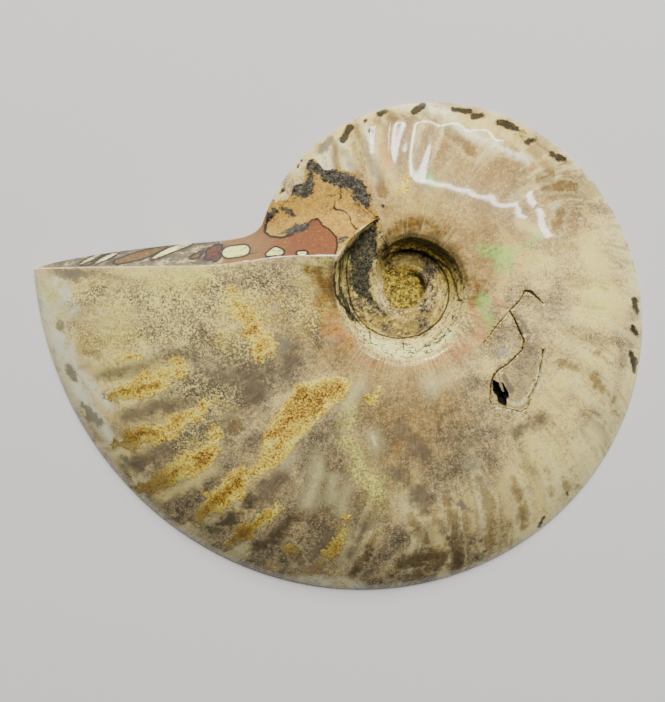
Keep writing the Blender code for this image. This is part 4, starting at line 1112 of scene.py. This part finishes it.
    def ground_mouth(self):
        """The ground mouth: mud and calcite, with the chamber wall's lobes cut through."""
        x = self.part(self.spot, "X")
        even = self.blend(fine=0.5, grain=0.5)
        grit = self.sway(fine=1.2, grain=1.2)
        base = self.ramp(self.blend(fine=0.35, grain=0.5, mottle=0.2), russet=0.39, ochre=0.48, sand=0.68)
        to_right = self.step(x + self.sway(clouds=0.01) + grit * 0.006, -0.034, -0.022)
        brown = self.mix(0.4, "ochre", "russet")
        red = self.mix(to_right * 0.7 + 0.3, brown, "red")
        red = self.mix(self.step(grit, 0.12, 0.35) * 0.5, red, "sand")
        red = self.mix(self.step(grit, -0.12, -0.35) * 0.6, red, "maroon")
        base = self.outlined(base, "red", 0.15, red)
        far = self.ramp(self.blend(mottle=0.6, fine=0.4), umber=0.42, drab=0.52, cream=0.66)
        base = self.mix(self.step(x, -0.0375, -0.0385), base, far)
        claret = self.mix(self.step(grit, -0.25, 0.35), "maroon", "red")
        base = self.outlined(base, "claret", 0.1, claret)
        base = self.outlined(base, "lens", 0.1, self.ramp(grit + 0.5, umber=0.3, russet=0.5, tan=0.8))
        base = self.laid(base, "black", 0.7, 0.3, 0.95, self.ramp(even, soot=0.42, slate=0.52, stone=0.64))
        white = self.ramp(self.blend(fine=0.5, mottle=0.5), drab=0.42, chalk=0.50, ivory=0.62)
        base = self.outlined(base, "chalk", 0.08, white)
        # A pale line along the mouth's edge, palest towards the right: the cut shell, with a painted
        # highlight on its polished rim
        edge = self.step(self.field("edge") + self.sway(mottle=1.2), 0.4, 0.2)
        bright = self.mix(self.step(x, -0.045, -0.034), "beige", "pearl")
        return self.mix(edge * 0.9, base, bright)

    def assemble(self):
        inside = self.step(self.shoulder + self.wobble * 0.15, 0.3, -0.4)
        ground = self.mark("ground", 0.35, 0.12)
        crust = self.mark("crust", 0.5, 0.3)
        crust_colour = self.ramp(self.blend(fine=0.5, grain=0.5),
                                 soot=0.42, slate=0.49, olive=0.56, stone=0.64)
        colour = self.mix(inside, self.flank(), self.umbilicus())
        colour = self.mix(crust, colour, crust_colour)
        colour = self.mix(ground, colour, self.ground_mouth())
        colour = self.laid(colour, "dark_line", 0.12, 0.12, 0.9, "peat")
        colour = self.laid(colour, "flake", 0.15, 0.2, 0.35, "drab")
        halo = self.step(self.field("crack") + self.wobble * 0.4, 0.9, 0)
        colour = self.mix(halo * 0.6, colour, "rib")
        colour = self.mix(halo * self.step(self.grit, 0.5, 0.58) * 0.8, colour, "cream")
        colour = self.laid(colour, "crack", 0.08, 0.12, 0.95, "peat")
        pale = self.mix(self.step(self.grain, 0.45, 0.60), "cream", "pearl")
        broken = self.step(self.blend(grit=0.5, fine=0.5), 0.42, 0.5) * 0.9
        colour = self.laid(colour, "white_line", 0.45, 0.3, broken, pale)
        # Painted shade: the open hollow is painted near black, as its inside lies in shadow
        hollow = self.step(self.field("hollow"), 0.15, -0.1)
        colour = self.mix(hollow, colour, "soot")
        colour = self.laid(colour, "shard", 0.25, 0.15, 0.9, "drab")
        matt = self.math("MAXIMUM", self.math("MAXIMUM", inside, crust), hollow)
        granular = self.math("MAXIMUM", self.math("MAXIMUM", self.mark("ochre", 1.2, 0.35), ground),
                             self.mark("slab", 0.5, 0.5))
        bump = (self.blend(fine=0.02, mottle=0.03, streaks=0.01) + granular * (self.grain + self.fine) * 0.08
                + matt * (self.grain + self.fine * 2) * 0.15)
        self.set_shader(Base_Color=colour, Specular_IOR_Level=0.25, Normal=self.bump(bump),
                        Roughness=0.20 + self.mottle * 0.12 + granular * 0.22 + matt * 0.45,
                        Coat_Weight=(1 - matt) * (1 - granular * 0.9), Coat_Roughness=0.06)
        return self.material


def sawn_material(colours):
    """The sawn face underneath: chambers along the spiral, filled with calcite and mud."""
    graph = Graph("sawn_face", colours)
    place = graph.place()
    mottle = graph.noise(place, 260, 5, 0.65)
    fine = graph.noise(place, 1300, 4, 0.7)
    x, y = graph.part(place, "X"), graph.part(place, "Y")
    distance = graph.math("SQRT", x * x + y * y)
    turn = graph.math("MODULO", graph.math("ARCTAN2", -y, -x) + TURN, TURN)
    swell = graph.math("SINE", graph.math("MINIMUM", turn * (math.pi / KEEL_SWELL_TURN), math.pi))
    decay = math.log(EXPANSION) / TURN
    inward = (graph.math("LOGARITHM", MOUTH_RADIUS / distance, math.e) + KEEL_SWELL * swell) / decay
    whorl = graph.math("FLOOR", (inward - turn) / TURN)
    across = (inward - turn) / TURN - whorl
    along = turn + whorl * TURN + across * (1 - across) * 0.5 + (mottle - 0.5) * 0.06
    count = along * CHAMBERS_PER_RADIAN
    cell = graph.math("FLOOR", count)
    kind = graph.node("ShaderNodeTexWhiteNoise", {"noise_dimensions": "1D"}, {"W": cell + 0.5})
    calcite = graph.ramp(kind * 0.6 + mottle * 0.5, russet=0.3, tan=0.5, straw=0.65, chalk=0.85)
    mud = graph.ramp(fine * 0.5 + mottle * 0.5, drab=0.38, sand=0.5, tan=0.6)
    chambers = graph.step(along, *LAST_CHAMBER)
    base = graph.mix(chambers, mud, calcite)
    septum = graph.step(graph.absolute(count - cell - 0.5), 0.46, 0.485) * chambers
    base = graph.mix(septum, base, "chalk")
    to_wall = graph.math("MINIMUM", across, 1 - across)
    base = graph.mix(graph.step(to_wall, 0.035, 0.02), base, "pearl")
    line = graph.step(graph.absolute(to_wall - 0.04), 0.012, 0.004)
    base = graph.mix(line * 0.8, base, "peat")
    graph.set_shader(Base_Color=base, Roughness=0.25 + mottle * 0.15, Coat_Weight=0.4, Coat_Roughness=0.1,
                     Normal=graph.bump(fine * 0.02 + mottle * 0.02))
    return graph.material


def colour_property(label, red, green, blue):
    return bpy.props.FloatVectorProperty(name=label, description=f"Colour of the {label.lower()}", size=4,
                                         subtype="COLOR", min=0, max=1, default=paint(red, green, blue))


def length_property(label, description, default):
    return bpy.props.FloatProperty(name=label, description=description, default=default, min=0,
                                   unit="LENGTH", precision=5)


class FossilShape(bpy.types.PropertyGroup):
    """How finely the half is built, and its finest relief."""

    shell_columns: bpy.props.IntProperty(name="Shell columns", default=450, min=60,
                                         description="Columns of faces round the coil")
    mouth_columns: bpy.props.IntProperty(name="Mouth columns", default=80, min=12,
                                         description="Columns of faces behind the mouth's edge")
    flank_rows: bpy.props.IntProperty(name="Flank rows", default=88, min=12,
                                      description="Rows of faces from the keel to the shoulder")
    rib_depth: length_property("Rib depth", "How low the polished ribs lie in the flank", 0.1 * MM)
    crust_roughness: length_property("Crust roughness", "Depth of the crust's pits", 0.35 * MM)
    crack_depth: length_property("Crack depth", "Depth of the crack in the flank", 0.35 * MM)


class FossilColours(bpy.types.PropertyGroup):
    """The fossil's colours."""

    __annotations__ = {name: colour_property(*values) for name, values in COLOURS.items()}


class FossilStage(bpy.types.PropertyGroup):
    """The floor, the lights and the camera."""

    floor: colour_property("Floor", 214, 212, 208)
    key_power: bpy.props.FloatProperty(name="Key power", description="Power of the soft key light",
                                       default=23.0, min=0, unit="POWER")
    strip_brightness: bpy.props.FloatProperty(name="Strip brightness",
                                              description="Power of the thin strip lights over their area",
                                              default=110.0, min=0)
    fill: bpy.props.FloatProperty(name="Fill", description="Brightness of the light from all round",
                                  default=0.14, min=0)
    camera_height: length_property("Camera height", "Height of the camera over the floor", 0.45)


class FOSSIL_OT_half(bpy.types.Operator):
    """Build the polished half with its relief and its materials"""

    bl_idname = "fossil.half"
    bl_label = "Build the half"

    def execute(self, context):
        scene = context.scene
        piece = build_half(scene.fossil_shape)
        piece.data.materials.append(ShellPaint(scene.fossil_colours).assemble())
        piece.data.materials.append(sawn_material(scene.fossil_colours))
        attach(piece, "root")
        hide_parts("ammonite_half")
        return {"FINISHED"}


def area_light(name, place, size, power):
    light = bpy.data.lights.new(name, "AREA")
    light.shape = "RECTANGLE"
    light.size, light.size_y = size
    light.energy = power
    lamp = bpy.data.objects.new(name, light)
    lamp.location = place
    lamp.rotation_euler = (Vector(MIDDLE) - Vector(place)).to_track_quat("-Z", "Y").to_euler()
    bpy.context.scene.collection.objects.link(lamp)
    return lamp


class FOSSIL_OT_stage(bpy.types.Operator):
    """Lay the pale floor, hang the studio lights and set the camera"""

    bl_idname = "fossil.stage"
    bl_label = "Set the stage"

    def execute(self, context):
        stage = context.scene.fossil_stage
        self.lay_floor(stage)
        key = area_light("key_light", KEY_PLACE, (KEY_SIDE, KEY_SIDE), stage.key_power)
        key.visible_glossy = False
        for number, (start, end, width) in enumerate(STRIPS):
            name = f"strip_light_{number}"
            self.hang_strip(name, Vector(start), Vector(end), width, stage.strip_brightness)
        world = bpy.data.worlds.new("studio")
        world.use_nodes = True
        background = world.node_tree.nodes["Background"].inputs
        background["Color"].default_value = (1, 1, 1, 1)
        background["Strength"].default_value = stage.fill
        context.scene.world = world
        self.set_camera(context, stage)
        return {"FINISHED"}

    def lay_floor(self, stage):
        form = bmesh.new()
        bmesh.ops.create_grid(form, x_segments=1, y_segments=1, size=FLOOR_HALF_SIDE)
        mesh = bpy.data.meshes.new("floor")
        form.to_mesh(mesh)
        form.free()
        floor = bpy.data.objects.new("floor", mesh)
        floor.location.z = -FLOOR_GAP
        bpy.context.scene.collection.objects.link(floor)
        graph = Graph("pale_floor")
        graph.set_shader(Base_Color=tuple(stage.floor), Roughness=0.9)
        mesh.materials.append(graph.material)

    def hang_strip(self, name, start, end, width, brightness):
        """A long thin light from one point to the other, facing the fossil."""
        middle, length = (start + end) / 2, (end - start).length
        lamp = area_light(name, middle, (length, width), brightness * length * width)
        along = (end - start).normalized()
        side = middle.cross(along).normalized()
        lamp.rotation_euler = Matrix((along, side, along.cross(side))).transposed().to_euler()

    def set_camera(self, context, stage):
        camera = bpy.data.cameras.new("camera")
        camera.sensor_width = SENSOR_WIDTH
        camera.lens = SENSOR_WIDTH * stage.camera_height / VIEW_LENGTH
        camera.clip_start = 0.01
        viewer = bpy.data.objects.new("camera", camera)
        viewer.location = (*CAMERA_PLACE, stage.camera_height)
        context.scene.collection.objects.link(viewer)
        context.scene.camera = viewer


class FOSSIL_PT_panel(bpy.types.Panel):
    """The fossil's steps, sizes and colours in the 3D view's sidebar"""

    bl_idname = "FOSSIL_PT_panel"
    bl_label = "Ammonite half"
    bl_space_type = "VIEW_3D"
    bl_region_type = "UI"
    bl_category = "Fossil"

    def draw(self, context):
        for operator in (FOSSIL_OT_half, FOSSIL_OT_stage):
            self.layout.operator(operator.bl_idname)
        for group_name, group in GROUPS.items():
            for name in group.__annotations__:
                self.layout.prop(getattr(context.scene, group_name), name)


GROUPS = {"fossil_shape": FossilShape, "fossil_colours": FossilColours, "fossil_stage": FossilStage}
CLASSES = (*GROUPS.values(), FOSSIL_OT_half, FOSSIL_OT_stage, FOSSIL_PT_panel)


def register():
    for made in CLASSES:
        bpy.utils.register_class(made)
    for name, group in GROUPS.items():
        setattr(bpy.types.Scene, name, bpy.props.PointerProperty(type=group))


def unregister():
    for name in GROUPS:
        delattr(bpy.types.Scene, name)
    for made in reversed(CLASSES):
        bpy.utils.unregister_class(made)


def main():
    register()
    bpy.ops.fossil.half()
    bpy.ops.fossil.stage()


if __name__ == "__main__":
    main()
